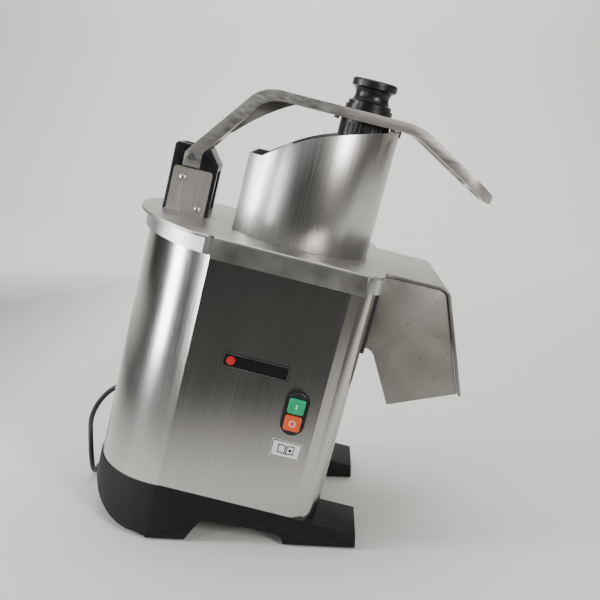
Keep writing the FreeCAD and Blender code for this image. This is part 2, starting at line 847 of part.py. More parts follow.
def lever_web():
    """The rib under the lever's sloping neck."""
    x = pivot_x
    side = outline([
        s(x + 36.5, pivot_z + 39),
        ("to", s(x + 56.5, lever_low_z - 22)),
        ("to", s(x + 78.5, lever_low_z - 1)),
        ("to", s(x + 104.5, lever_low_z + 1)),
        ("to", s(x + 110.5, lever_low_z + 1)),
        ("by", s(x + 76.5, lever_low_z - 20), s(x + 40.5, pivot_z + 40))])
    return across(side, -web_thickness / 2, web_thickness / 2)


def make_feed_lever():
    bar = across(lever_side(), -far / 4, far / 4)
    bar = bar.common(upright(lever_plan(), 0, far))
    bar = join([bar, lever_web()])
    inner = arm_inner()
    fork = rod_y(fork_gap_radius, -inner, inner, pivot_x, pivot_z)
    pin_hole = rod_y(pivot_pin_radius, -far / 4, far / 4, pivot_x, pivot_z)
    tube_hole = rod(collar_radius, lever_low_z - 9, lever_top_z + 9, tube_x)
    opening = upright(grip_opening(), 0, far)
    holes = [rod(1.6, lever_low_z - 9, lever_top_z + 9, x, y) for x, y in collar_screw_places()]
    return bar.cut([fork, pin_hole, tube_hole, opening] + holes)


def make_lever_pin():
    reach = arm_inner() + arm_thickness + 0.6
    return rod_y(pivot_pin_radius, -reach, reach, pivot_x, pivot_z)


def collar_screw_places():
    """The two screws that hold the feed tube's collar to the lever."""
    reach = tube_radius + 5.5
    return [(tube_x - reach, 0.0), (tube_x + reach - 1.0, 0.0)]


def make_collar_screws():
    cap = dome_screw(3.6, 1.6, 1.6, lever_thickness, 1.0)
    nut = rod(3.4, -lever_thickness - 3, -lever_thickness)
    screws = []
    for x, y in collar_screw_places():
        screws.append(placed(cap.fuse(nut), Vector(x, y, lever_top_z), Vector(0, 0, 1)))
    return group(screws)


# ---- feed tube, press plate and pusher ----------------------------------------------------------
def make_feed_tube():
    low = lid_top_z + press_plate_gap - 4
    collar_top = lever_top_z + collar_height
    body = rod(tube_radius, low, lever_low_z, tube_x)
    neck = rod(collar_radius, lever_low_z - 1, collar_top, tube_x)
    tube = body.fuse(neck).cut(rod(tube_bore, low - 1, collar_top + 1, tube_x))
    flute_low = lid_top_z + press_plate_gap + press_plate_thickness + 12
    flutes = []
    for number in range(flute_count):
        angle = 2 * pi * number / flute_count
        x = tube_x + (tube_radius + 0.6) * cos(angle)
        y = (tube_radius + 0.6) * sin(angle)
        flutes.append(rod(flute_radius, flute_low, lever_low_z - 4, x, y))
    return tube.cut(flutes)


def make_press_plate():
    low = lid_top_z + press_plate_gap
    high = low + press_plate_thickness
    radius = press_plate_radius
    back = press_plate_back_x
    half = sqrt(radius ** 2 - back ** 2)
    plan = outline([p(back, half), ("to", p(back, -half)), ("by", p(radius, 0), p(back, half))])
    plate = upright(plan, low, high)
    rib_top = high + press_rib_height
    ribs = [block(back + 8, tube_x - tube_radius + 4, y - 2, y + 2, high - 0.5, rib_top)
            for y in (-26, 0, 26)]
    ribs.append(block(back + 28, back + 32, -52, 52, high - 0.5, rib_top))
    plate = join([plate] + ribs)
    return plate.cut(rod(tube_radius, low - 1, high + 20, tube_x))


def make_pusher_stem():
    low = lid_top_z + press_plate_gap - 2
    radius = tube_bore - pusher_clearance
    top = lever_top_z + collar_height + skin
    stem = rod(radius, low, top, tube_x)
    return stem.cut(rod(radius - pusher_wall, low + 3, top + 1, tube_x))


def make_pusher_knob():
    """The waisted knob on the pusher: flange, concave neck and top disc, turned about its axis."""
    low = lever_top_z + collar_height + skin
    flange = tube_radius - 4.0
    neck = tube_radius - 7.5
    head = tube_radius - 3.0
    top = low + knob_height
    half = outline([
        s(0, low),
        ("to", s(flange, low)),
        ("to", s(flange, low + 4.5)),
        ("to", s(neck, low + 6.0)),
        ("by", s(neck - 2.4, low + 13.0), s(neck, low + 21.0)),
        ("to", s(head, low + 23.0)),
        ("to", s(head, top - 3.0)),
        ("by", s(head - 0.9, top - 0.9), s(head - 3.0, top)),
        ("to", s(0, top))])
    knob = Part.Face(half).revolve(Vector(0, 0, 0), Vector(0, 0, 1), 360)
    knob.translate(Vector(tube_x, 0, 0))
    dish = Part.makeSphere(90, Vector(tube_x, 0, top + 88))
    return knob.cut(dish)


# ---- cutting set --------------------------------------------------------------------------------
def make_slicing_disc():
    low = disc_top_z - disc_thickness
    disc = rod(disc_radius, low, disc_top_z)
    slots = []
    for turn in (0, 180):
        slot = block(blade_inner - 2, disc_radius - 9.5, -9, 5, low - 1, disc_top_z + 1)
        slot.rotate(Vector(0, 0, 0), Vector(0, 0, 1), turn)
        slots.append(slot)
    hub_hole = rod(hub_radius(), low - 1, disc_top_z + 1)
    return disc.cut(slots + [hub_hole])


def hub_radius():
    """Radius of the disc hub where the disc and the shaft's top meet it."""
    return shaft_radius + 5.5


def make_disc_blades():
    low = disc_top_z - disc_thickness
    blades = []
    for turn in (0, 180):
        wedge = outline([
            Vector(blade_inner, -4.0, disc_top_z + 1.4),
            ("to", Vector(blade_inner, 4.6, disc_top_z + 0.2)),
            ("to", Vector(blade_inner, 4.6, low + 1.0)),
            ("to", Vector(blade_inner, 2.0, low + 1.0)),
            ("to", Vector(blade_inner, -4.0, disc_top_z + 0.9))])
        blade = Part.Face(wedge).extrude(Vector(disc_radius - 11.5 - blade_inner, 0, 0))
        tabs = [block(x, x + 8, 4.0, 5.0, low + 0.2, disc_top_z - 0.2)
                for x in (blade_inner + 6, disc_radius - 25.5)]
        blade = join([blade] + tabs)
        blade.rotate(Vector(0, 0, 0), Vector(0, 0, 1), turn)
        blades.append(blade)
    return group(blades)


def make_disc_hub():
    low = grid_low_z() - 10
    hub = rod(hub_radius(), low, disc_top_z)
    cap = rod(hub_radius() + 6, disc_top_z, disc_top_z + 4)
    cap = cap.fuse(rod(hub_radius(), disc_top_z + 3, disc_top_z + 7))
    return join([hub, cap]).cut(rod(shaft_radius - 1.5, low - 1, disc_top_z + 1))


def grid_low_z():
    """Underside of the dicing grid's frame."""
    return disc_top_z - disc_thickness - 3.5 - grid_height


def make_dicing_grid():
    low = grid_low_z()
    high = low + grid_height
    plate = rod(grid_radius, low, high)
    holes = []
    count = int(grid_radius // grid_pitch)
    cell = grid_pitch - grid_bar
    for column in range(-count, count + 1):
        for row in range(-count, count + 1):
            x = column * grid_pitch
            y = row * grid_pitch
            far_corner = sqrt((abs(x) + cell / 2) ** 2 + (abs(y) + cell / 2) ** 2)
            near_corner = sqrt(max(abs(x) - cell / 2, 0) ** 2 + max(abs(y) - cell / 2, 0) ** 2)
            if far_corner < grid_radius - 5 and near_corner > grid_hub_radius + 3:
                holes.append(block(x - cell / 2, x + cell / 2, y - cell / 2, y + cell / 2,
                                   low - 1, high + 1))
    return plate.cut(holes + [rod(grid_hub_radius, low - 1, high + 1)])


def make_ejector_plate():
    low = bowl_inside_z + 15
    plate = rod(ejector_radius, low, low + ejector_thickness)
    plate = plate.fuse(rod(shaft_radius + 9, low, low + 16))
    vanes = []
    for turn in (0, 120, 240):
        vane = block(shaft_radius + 6, ejector_radius - 4, -2, 2, low + ejector_thickness - 0.5,
                     low + ejector_thickness + vane_height)
        vane.rotate(Vector(0, 0, 0), Vector(0, 0, 1), turn)
        vanes.append(vane)
    return join([plate] + vanes).cut(rod(shaft_radius, low - 1, low + 60))


# ---- drive --------------------------------------------------------------------------------------
def make_drive_shaft():
    step_z = grid_low_z() - 10
    shaft = rod(shaft_radius, shaft_low_z, step_z)
    return shaft.fuse(rod(shaft_radius - 1.5, step_z - 1, disc_top_z)).removeSplitter()


def make_bearing_housing():
    low = bowl_floor_z - 33
    top = bowl_inside_z + 10
    body = rod(housing_radius, low, top)
    flange = rod(housing_radius + 12, bowl_inside_z, bowl_inside_z + 4)
    bore = rod(bearing_outer_radius, low + 3, top + 1)
    lip = rod(bearing_outer_radius - 3, low - 1, low + 4)
    bolts = [rod(2.2, bowl_inside_z - 1, bowl_inside_z + 5, *place) for place in housing_screw_places()]
    return join([body, flange]).cut([bore, lip] + bolts)


def bearing_places():
    """Lower ends of the two shaft bearings."""
    low = bowl_floor_z - 30
    return [low, low + 24]


def make_bearing_screws():
    screws = []
    for x, y in housing_screw_places():
        head = dome_screw(4.0, 2.4, 2.2, 8, 1.2)
        head.translate(Vector(x, y, bowl_inside_z + 4))
        screws.append(head)
    return group(screws)


def make_shaft_bearings():
    races = []
    for low in bearing_places():
        race = ring(bearing_outer_radius, shaft_radius + pin_clearance, low, low + bearing_width)
        for face in (low - 1, low + bearing_width - 0.8):
            race = race.cut(ring(bearing_outer_radius - 2.5, shaft_radius + 2.2, face, face + 1.8))
        races.append(race)
    return group(races)


def make_shaft_seal():
    top = bowl_inside_z + 10
    return ring(bearing_outer_radius, shaft_radius + 0.06, top - 5, top)


def pulley_grooves(radius, x):
    """The rings cut into a pulley's rim for a ribbed belt."""
    grooves = []
    for number in range(groove_count):
        z = pulley_low_z + 3 + number * groove_pitch
        grooves.append(ring(radius + 1, radius - groove_depth, z, z + groove_depth, x))
    return grooves


def make_driven_pulley():
    low = pulley_low_z
    high = low + pulley_width
    wheel = rod(driven_pulley_radius, low, high)
    for face in (low - 1, high - 6):
        wheel = wheel.cut(ring(driven_pulley_radius - 7, 20, face, face + 7))
    holes = [rod(11, low - 1, high + 1, 41 * cos(a), 41 * sin(a)) for a in quarter_turns(0)]
    grooves = pulley_grooves(driven_pulley_radius, 0)
    return wheel.cut(holes + grooves + [rod(shaft_radius, low - 1, high + 1)])


def make_motor_pulley():
    low = pulley_low_z
    high = low + pulley_width
    wheel = rod(motor_pulley_radius, low, high, motor_x)
    grooves = pulley_grooves(motor_pulley_radius, motor_x)
    return wheel.cut(grooves + [rod(motor_shaft_radius, low - 1, high + 1, motor_x)])


def belt_plan(grow):
    """The belt's loop round both pulleys: two arcs joined by their outer tangents."""
    big = driven_pulley_radius + belt_air + grow
    small = motor_pulley_radius + belt_air + grow
    angle = asin((big - small) / abs(motor_x))
    tangent = Vector(-sin(angle), cos(angle), 0)
    other = Vector(tangent.x, -tangent.y, 0)
    centre = p(motor_x, 0)
    return outline([
        tangent * big,
        ("to", centre + tangent * small),
        ("by", centre + p(-small, 0), centre + other * small),
        ("to", other * big),
        ("by", p(big, 0), tangent * big)])


def make_drive_belt():
    low = pulley_low_z + 1.5
    high = pulley_low_z + pulley_width - 1.5
    outer = upright(belt_plan(belt_thickness), low, high)
    return outer.cut(upright(belt_plan(0), low - 1, high + 1))


def make_motor_plate():
    low = deck_plate_z
    plan = shell_plan(shell_wall + 4.5)
    plate = upright(plan, low, low + deck_plate_thickness)
    plate = plate.common(block(-far, bowl_radius - 16, -plate_half_width, plate_half_width, 0, far))
    holes = [rod(motor_shaft_radius + 10, low - 1, low + 9, motor_x)]
    holes += [rod(2.5, low - 1, low + 9, x, y) for x, y in post_places()]
    holes += [rod(2.2, low - 1, low + 9, x, y) for x, y in motor_bolt_places()]
    return plate.cut(holes)


def make_plate_posts():
    low = deck_plate_z + deck_plate_thickness
    posts = []
    for x, y in post_places():
        post = rod(7, low, bowl_floor_z, x, y)
        stud = rod(2.5, low - deck_plate_thickness - 5, bowl_inside_z + 4, x, y)
        posts.append(post.fuse(stud))
    return group(posts)


def motor_bolt_places():
    """The motor's four bolts through the drive plate."""
    reach = motor_radius - 9
    return [(motor_x + reach * cos(a), reach * sin(a)) for a in quarter_turns(45)]


def make_motor_bolts():
    bolts = []
    plate_top = deck_plate_z + deck_plate_thickness
    for x, y in motor_bolt_places():
        head = dome_screw(4.0, 2.4, 2.2, deck_plate_thickness + 8, 1.2)
        head.translate(Vector(x, y, plate_top))
        bolts.append(head)
    return group(bolts)


def make_motor_housing():
    can = ring(motor_radius, motor_radius - motor_wall, motor_low_z, motor_high_z, motor_x)
    fins = []
    for number in range(motor_fin_count):
        angle = 360 * (number + 0.5) / motor_fin_count
        fin = block(motor_radius - 1, motor_radius + 4, -1.2, 1.2, motor_low_z + 12, motor_high_z - 12)
        fin.rotate(Vector(0, 0, 0), Vector(0, 0, 1), angle)
        fin.translate(Vector(motor_x, 0, 0))
        fins.append(fin)
    return join([can] + fins)


def motor_end_cap(low, inner_low):
    """One end cap of the motor with a seat for its bearing, open at inner_low."""
    cap = rod(motor_radius, low, low + motor_cap, motor_x)
    seat = rod(motor_bearing_radius, inner_low, inner_low + motor_cap - 2, motor_x)
    hole = rod(motor_shaft_radius + 1, low - 1, low + motor_cap + 1, motor_x)
    return cap.cut([seat, hole])


def make_motor_end_caps():
    lower_low = motor_low_z - motor_cap
    lower = motor_end_cap(lower_low, lower_low + 2)
    upper = motor_end_cap(motor_high_z, motor_high_z)
    bolts = [rod(2.2, motor_high_z + 2, motor_high_z + motor_cap + 1, x, y)
             for x, y in motor_bolt_places()]
    return group([lower, upper.cut(bolts)])


def make_motor_bearings():
    height = motor_cap - 2
    races = []
    for low in (motor_low_z - motor_cap + 2, motor_high_z):
        races.append(ring(motor_bearing_radius, motor_shaft_radius + 0.05, low, low + height, motor_x))
    return group(races)


def make_motor_stator():
    core = ring(motor_radius - motor_wall, rotor_radius + rotor_air, motor_low_z + 22,
                motor_high_z - 22, motor_x)
    coils = []
    for low in (motor_low_z + 8, motor_high_z - 22):
        coils.append(ring(motor_radius - motor_wall - 4, rotor_radius + 4, low, low + 14, motor_x))
    return join([core] + coils)


def make_motor_rotor():
    core = rod(rotor_radius, motor_low_z + 22, motor_high_z - 22, motor_x)
    end_rings = rod(rotor_radius - 6, motor_low_z + 15, motor_high_z - 15, motor_x)
    shaft = rod(motor_shaft_radius, motor_low_z - motor_cap - 13, pulley_low_z + pulley_width + 3,
                motor_x)
    return join([core, end_rings, shaft])


def make_motor_fan():
    high = motor_low_z - motor_cap - 3
    low = high - 9
    hub = rod(13, low, high, motor_x)
    disc = rod(40, low, low + 2, motor_x)
    blades = []
    for number in range(fan_blade_count):
        blade = block(11, 40, -1, 1, low + 1, high)
        blade.rotate(Vector(0, 0, 0), Vector(0, 0, 1), number * 360 / fan_blade_count)
        blade.translate(Vector(motor_x, 0, 0))
        blades.append(blade)
    fan = join([hub, disc] + blades)
    return fan.cut(rod(motor_shaft_radius, low - 1, high + 1, motor_x))


def make_run_capacitor():
    low = deck_plate_z - 110
    can = rod(capacitor_radius, low, low + 68, capacitor_x, capacitor_y)
    cap = rod(6, low + 67, low + 74, capacitor_x, capacitor_y)
    return can.fuse(cap).removeSplitter()


def make_capacitor_clip():
    """A strap that holds the capacitor up against the drive plate."""
    high = deck_plate_z
    x = capacitor_x
    y = capacitor_y
    band = ring(capacitor_radius + 2, capacitor_radius, high - 66, high - 52, x, y)
    stem = block(x - 6, x + 6, y + 18, y + 21, high - 64, high)
    tab = block(x - 6, x + 6, plate_half_width - 15, y + 21, high - 2, high)
    return join([band, stem, tab])


# ---- switch and labels --------------------------------------------------------------------------
def button_centre(upper):
    """Height of a button's centre."""
    start_z = switch_z + start_button_rise
    if upper:
        return start_z
    return start_z - button_height - button_gap


def button_block(upper, grow, y0, y1):
    """A button's rounded block, or its opening when it is grown by the clearance."""
    z = button_centre(upper)
    w = button_width / 2 + grow
    h = button_height / 2 + grow
    form = block(switch_x - w, switch_x + w, y0, y1, z - h, z + h)
    edges = [edge for edge in form.Edges if edge.BoundBox.YMax - edge.BoundBox.YMin > 1]
    return form.makeFillet(3.0 + grow, edges)


def make_switch_bezel():
    face = -shell_half_width
    plate = switch_window(bezel_width, bezel_height)
    plate = plate.common(block(-far, far, face - bezel_depth, face, 0, far))
    neck = switch_window(bezel_width - 5.2, bezel_height - 5.2)
    neck = neck.common(block(-far, far, face - 1, face + 11, 0, far))
    bezel = join([plate, neck])
    for upper in (True, False):
        bezel = bezel.cut(button_block(upper, button_clearance, face - 40, face + 20))
    return bezel


def make_switch_lens():
    """The dark dome over the indicator at the top of the switch."""
    face = -shell_half_width - bezel_depth
    low = button_centre(True) + button_height / 2 + 1.6
    dome = switch_window(bezel_width - 4, bezel_height - 4)
    dome = dome.common(block(-far, far, face - 2.6, face, low, far))
    edges = [edge for edge in dome.Edges if abs(edge.BoundBox.YMax - face + 2.6) < 1e-4]
    return dome.makeFillet(1.6, edges)


def make_button(upper):
    face = -shell_half_width - bezel_depth
    form = button_block(upper, 0, face - button_rise, -shell_half_width + 7.5)
    top = [edge for edge in form.Edges if abs(edge.BoundBox.YMax - face + button_rise) < 1e-4]
    return form.makeFillet(1.2, top)


def make_switch_block():
    """The contact block behind the switch, with its screw terminals."""
    front = -shell_half_width + 11
    half = bezel_width / 2 - 2.6
    body = block(switch_x - half, switch_x + half, front, front + 36, switch_z - 24, switch_z + 24)
    terminals = []
    for z in (switch_z - 14, switch_z, switch_z + 14):
        terminals.append(block(switch_x - 8, switch_x + 8, front + 30, front + 37, z - 3.5, z + 3.5))
    return body.cut(terminals)


def make_badge_plate():
    face = -shell_half_width
    plate = block(badge_x - badge_width / 2, badge_x + badge_width / 2, face - badge_thickness, face,
                  badge_z - badge_height / 2, badge_z + badge_height / 2)
    edges = [edge for edge in plate.Edges if edge.BoundBox.YMax - edge.BoundBox.YMin > 0.5]
    return plate.makeFillet(1.0, edges)


def make_info_label():
    face = -shell_half_width
    return block(label_x - label_width / 2, label_x + label_width / 2, face - label_thickness, face,
                 label_z - label_height / 2, label_z + label_height / 2)


# ---- lid hinge and latch ------------------------------------------------------------------------
def round_back(shape):
    """Turn a shape built behind the round back (towards -X) to the lid hinge's corner."""
    copy = shape.copy()
    copy.rotate(Vector(rear_arc_x, 0, 0), Vector(0, 0, 1), -lid_hinge_angle)
    return copy


def make_lid_hinge_bracket():
    """Two fixed knuckles on an arm that stands out from the rim."""
    x = lid_hinge_x
    z = lid_hinge_z
    half = lid_knuckle_length / 2
    parts = []
    for y0, y1 in ((-half - 12, -half), (half, half + 12)):
        parts.append(rod_y(lid_knuckle_radius, y0, y1, x, z))
        parts.append(block(x, rear_arc_x - rim_rear_radius + 3, y0, y1, z - lid_knuckle_radius,
                           z + 3))
    parts.append(block(x + lid_knuckle_radius + 1.5, rear_arc_x - rim_rear_radius + 3, -half - 12,
                       half + 12, z - lid_knuckle_radius - 4, z - lid_knuckle_radius))
    bracket = round_back(join(parts).cut(rod_y(lid_pin_radius, -far / 4, far / 4, x, z)))
    rim = upright(body_plan(rim_half_width, rim_rear_radius, rim_front), shell_height - 9, lid_low_z)
    return bracket.cut(rim)


def make_lid_hinge_leaf():
    """The lid's own knuckle, on a leaf that hangs from the lid's overhanging edge."""
    x = lid_hinge_x
    z = lid_hinge_z
    half = lid_knuckle_length / 2 - skin
    inner_x = rear_arc_x - rim_rear_radius - 0.8
    knuckle = rod_y(lid_knuckle_radius, -half, half, x, z)
    leaf = block(x, inner_x, -half, half, z + 2, lid_low_z)
    leaf = join([knuckle, leaf]).cut(rod_y(lid_pin_radius + pin_clearance, -far / 4, far / 4, x, z))
    swing = rod(rim_rear_radius + 0.8, 0, far, rear_arc_x)
    return round_back(leaf).cut(swing)


def make_lid_hinge_pin():
    reach = lid_knuckle_length / 2 + 12.5
    return round_back(rod_y(lid_pin_radius, -reach, reach, lid_hinge_x, lid_hinge_z))


def make_latch_bracket():
    """A small clevis on the far side of the rim that carries the lid latch."""
    half = latch_width / 2
    root = rim_half_width
    ears = []
    for x0, x1 in ((latch_x - half, latch_x - half + 4), (latch_x + half - 4, latch_x + half)):
        ears.append(block(x0, x1, shell_half_width, latch_pivot_y + 5, latch_pivot_z - 5,
                          latch_pivot_z + 5))
    ears.append(block(latch_x - half, latch_x + half, shell_half_width, root + 1.5,
                      latch_pivot_z - 12, latch_pivot_z + 5))
    start = Vector(latch_x - half - 4, latch_pivot_y, latch_pivot_z)
    pin = Part.makeCylinder(latch_pin_radius, latch_width + 8, start, Vector(1, 0, 0))
    return join(ears).cut(pin)


def make_latch_pin():
    half = latch_width / 2 + 0.6
    start = Vector(latch_x - half, latch_pivot_y, latch_pivot_z)
    return Part.makeCylinder(latch_pin_radius, 2 * half, start, Vector(1, 0, 0))


def make_lid_latch():
    """The hook that swings outward off the lid's edge, standing unhooked."""
    half = latch_width / 2 - 4 - skin
    inner = lid_half_width + 0.8
    outer = inner + latch_thickness
    top = lid_top_z + skin
    side = Part.Wire(Part.makePolygon([
        Vector(0, inner, latch_pivot_z - 5),
        Vector(0, outer + 5.5, latch_pivot_z - 5),
        Vector(0, outer + 5.5, latch_pivot_z + 5),
        Vector(0, outer, latch_pivot_z + 11),
        Vector(0, outer, top + 3),
        Vector(0, inner - 4.2, top + 3),
        Vector(0, inner - 4.2, top),
        Vector(0, inner, top),
        Vector(0, inner, latch_pivot_z - 5)]))
    bar = Part.Face(side)
    bar.translate(Vector(latch_x - half, 0, 0))
    bar = bar.extrude(Vector(2 * half, 0, 0))
    start = Vector(-far / 2, latch_pivot_y, latch_pivot_z)
    hole = Part.makeCylinder(latch_pin_radius + pin_clearance, far, start, Vector(1, 0, 0))
    hook = bar.cut(hole)
    hook.rotate(start, Vector(1, 0, 0), -latch_rest_angle)
    return hook


# ---- cord ---------------------------------------------------------------------------------------
def gland_end():
    """The mouth of the strain relief in the bench frame."""
    return leaned_point(gland_face() + gland_way() * gland_length)


def cord_route():
    """The cord's points from the strain relief to the coil, in the bench frame, chosen by hand."""
    start = gland_end()
    way = leaned_point(gland_way()) - leaned_point(Vector(0, 0, 0))
    steps = [way * 17.1, Vector(-27.4, -1.2, -19.2), Vector(-36.1, -10.5, -31.6),
             Vector(-39.5, -26.8, -45.0)]
    falling = [(-34.5, -46.1, 68.2), (-32.27, -52.43, 43), (-33.27, -43.43, 18.5)]
    lying = [(-36.27, -21.43), (-35.27, 8.57), (-25.27, 41.57), (-5.27, 75.57), (22.73, 103.57),
             (57.73, 116.57), (90.73, 106.57)]
    route = [start] + [start + step for step in steps]
    route += [Vector(start.x + x, start.y + y, z) for x, y, z in falling]
    route += [Vector(start.x + x, start.y + y, cord_radius) for x, y in lying]
    return route


def coil_centre():
    """The middle of the coil that lies on the bench."""
    start = gland_end()
    return Vector(start.x + coil_ahead, start.y + coil_aside, 0)


def cord_path(points):
    """Straight runs joined by tangent arcs, with each arc as large as its two runs allow."""
    edges = []
    here = points[0]
    for before, point, after in zip(points, points[1:], points[2:]):
        back = (before - point)
        ahead = (after - point)
        run = min(back.Length, ahead.Length)
        back.normalize()
        ahead.normalize()
        turn = pi - back.getAngle(ahead)
        radius = 0.45 * run / tan(turn / 2)
        first = point + back * (0.45 * run)
        last = point + ahead * (0.45 * run)
        bisector = back + ahead
        bisector.normalize()
        centre = point + bisector * (radius / cos(turn / 2))
        middle = centre - bisector * radius
        edges.append(Part.LineSegment(here, first).toShape())
        edges.append(Part.Arc(first, middle, last).toShape())
        here = last
        if radius < 10 * cord_radius:
            print("tight cord bend", round(radius, 1), "turn", round(degrees(turn), 1))
    edges.append(Part.LineSegment(here, points[-1]).toShape())
    return Part.Wire(edges)


def make_power_cord():
    path = cord_path(cord_route())
    start = cord_route()[0]
    way = cord_route()[1] - start
    circle = Part.makeCircle(cord_radius, start, way)
    tube = path.makePipeShell([Part.Wire([circle])], True, False)
    ideal = pi * cord_radius ** 2 * path.Length
    print("cord tube length", round(path.Length, 1), "volume over section times length",
          round(tube.Volume / ideal, 4))
    return tube


def make_cord_coil():
    outer = coil_mean_radius + coil_half_width
    inner = coil_mean_radius - coil_half_width
    centre = coil_centre()
    coil = ring(outer, inner, 0, coil_height, centre.x, centre.y)
    return coil.makeFillet(3.0, coil.Edges)


def make_power_plug():
    """A moulded mains plug with three flat pins, lying beside the coil."""
    x = coil_centre().x + coil_mean_radius + coil_half_width
    y = coil_centre().y - coil_mean_radius - 7
    boot = Part.makeCone(cord_radius + 1.0, 7.0, 49, Vector(x - 31, y, 7.5), Vector(1, 0, 0))
    body = block(x + 17, x + 44, y - 13, y + 13, 0, 24)
    body = body.makeFillet(4.0, [edge for edge in body.Edges
                                 if edge.BoundBox.XMax - edge.BoundBox.XMin > 1])
    plug = join([boot, body])
    pins = [block(x + 43, x + 61, y + side - 3.15, y + side + 3.15, 13, 14.6) for side in (-5.35, 5.35)]
    pins.append(block(x + 43, x + 63, y - 0.8, y + 0.8, 4, 10.3))
    return join([plug] + pins)


def make_cord_gland():
    """The flange, nut and tapered strain relief at the cord's exit."""
    face = gland_face()
    way = gland_way()
    flange = Part.makeCylinder(11.0, 15, face - way * 9, way)
    boot = Part.makeCone(8.0, cord_radius + 1.4, gland_length - 5, face + way * 5, way)
    neck = Part.makeCylinder(cord_radius + 4.5, 16, face - way * 10, way)
    outside = upright(shell_plan(shell_wall), -80, shell_height)
    outside_skin = upright(shell_plan(0), -80, shell_height)
    gland = join([flange.cut(outside_skin), boot.cut(outside_skin), neck])
    inner_nut = Part.makeCylinder(10.0, 5, face - way * 12, way).common(outside)
    gland = join([gland, inner_nut])
    return gland.cut(make_body_shell())


# ---- the whole machine --------------------------------------------------------------------------
def machine_parts():
    """Every node in the machine frame, by name."""
    return {
        "body_shell": make_body_shell(),
        "bowl_casting": make_bowl_casting(),
        "discharge_chute": make_discharge_chute(),
        "chute_gasket": make_chute_gasket(),
        "lid_plate": make_lid_plate(),
        "feed_hopper": make_feed_hopper(),
        "hinge_block": make_hinge_block(),
        "hinge_plates": group([make_hinge_plate(-1), make_hinge_plate(1)]),
        "hinge_screws": make_hinge_screws(),
        "feed_lever": make_feed_lever(),
        "lever_pin": make_lever_pin(),
        "lever_bumper": make_lever_bumper(),
        "feed_tube": make_feed_tube(),
        "press_plate": make_press_plate(),
        "collar_screws": make_collar_screws(),
        "pusher_stem": make_pusher_stem(),
        "pusher_knob": make_pusher_knob(),
        "slicing_disc": make_slicing_disc(),
        "disc_blades": make_disc_blades(),
        "disc_hub": make_disc_hub(),
        "dicing_grid": make_dicing_grid(),
        "ejector_plate": make_ejector_plate(),
        "drive_shaft": make_drive_shaft(),
        "bearing_housing": make_bearing_housing(),
        "bearing_screws": make_bearing_screws(),
        "shaft_bearings": make_shaft_bearings(),
        "shaft_seal": make_shaft_seal(),
        "driven_pulley": make_driven_pulley(),
        "motor_pulley": make_motor_pulley(),
        "drive_belt": make_drive_belt(),
        "motor_plate": make_motor_plate(),
        "plate_posts": make_plate_posts(),
        "motor_bolts": make_motor_bolts(),
        "motor_housing": make_motor_housing(),
        "motor_end_caps": make_motor_end_caps(),
        "motor_bearings": make_motor_bearings(),
        "motor_stator": make_motor_stator(),
        "motor_rotor": make_motor_rotor(),
        "motor_fan": make_motor_fan(),
        "run_capacitor": make_run_capacitor(),
        "capacitor_clip": make_capacitor_clip(),
        "switch_bezel": make_switch_bezel(),
        "switch_lens": make_switch_lens(),
        "start_button": make_button(True),
        "stop_button": make_button(False),
        "switch_block": make_switch_block(),
        "badge_plate": make_badge_plate(),
        "info_label": make_info_label(),
        "lid_hinge_bracket": make_lid_hinge_bracket(),
        "lid_hinge_leaf": make_lid_hinge_leaf(),
        "lid_hinge_pin": make_lid_hinge_pin(),
        "latch_bracket": make_latch_bracket(),
        "latch_pin": make_latch_pin(),
        "lid_latch": make_lid_latch(),
        "cord_gland": make_cord_gland(),
    }


def bench_parts():
    """Every node that is built upright on the bench, by name."""
    return {
        "base_housing": make_base_housing(),
        "foot_pads": make_foot_pads(),
        "power_cord": make_power_cord(),
        "cord_coil": make_cord_coil(),
        "power_plug": make_power_plug(),
    }


def landmarks():
    """Points that the joints are placed by, in the machine frame."""
    hinge = round_back(Part.Vertex(lid_hinge_x, 0, lid_hinge_z)).Point
    return {
        "shaft": Vector(0, 0, 200),
        "motor": Vector(motor_x, 0, 100),
        "lever": Vector(pivot_x, 0, pivot_z),
        "lid": hinge,
        "latch": Vector(latch_x, latch_pivot_y, latch_pivot_z),
        "tube": Vector(tube_x, 0, lever_top_z)}


def main():
    os.makedirs("parts", exist_ok=True)
    nodes = {name: leaned(shape) for name, shape in machine_parts().items()}
    nodes.update(bench_parts())
    loose = ["power_cord", "cord_coil", "power_plug", "cord_gland"]
    whole = Part.makeCompound([shape for name, shape in nodes.items() if name not in loose])
    box = whole.optimalBoundingBox(True, False)
    shift = Vector(-(box.XMin + box.XMax) / 2, -(box.YMin + box.YMax) / 2, -box.ZMin)
    print("shift", round(shift.x, 4), round(shift.y, 4), round(shift.z, 4))
    print("box", round(box.XLength, 2), round(box.YLength, 2), round(box.ZLength, 2))
    for name, shape in nodes.items():
        shape.translate(shift)
        shape.exportStep("parts/" + name + ".step")
    for name, point in landmarks().items():
        place = leaned_point(point) + shift
        print("point", name, round(place.x, 4), round(place.y, 4), round(place.z, 4))
    print("route", [tuple(round(value, 2) for value in point + shift) for point in cord_route()])
    print("belt ratio", driven_pulley_radius / motor_pulley_radius)


main()
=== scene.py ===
"""Bench-top vegetable dicer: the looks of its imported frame.

Each sub-assembly is a class that shapes its own pieces and gives them their finish. Lengths are in metres
and angles in degrees. Bench coordinates have X towards the chute, Y away from the switch and Z up. Machine
coordinates lean with the body: their origin is on the cutting shaft, at the top plane of the base.
"""
import json
import logging
import math
from collections.abc import Callable
from dataclasses import dataclass, field
from enum import Enum

import bpy
from mathutils import Matrix, Vector

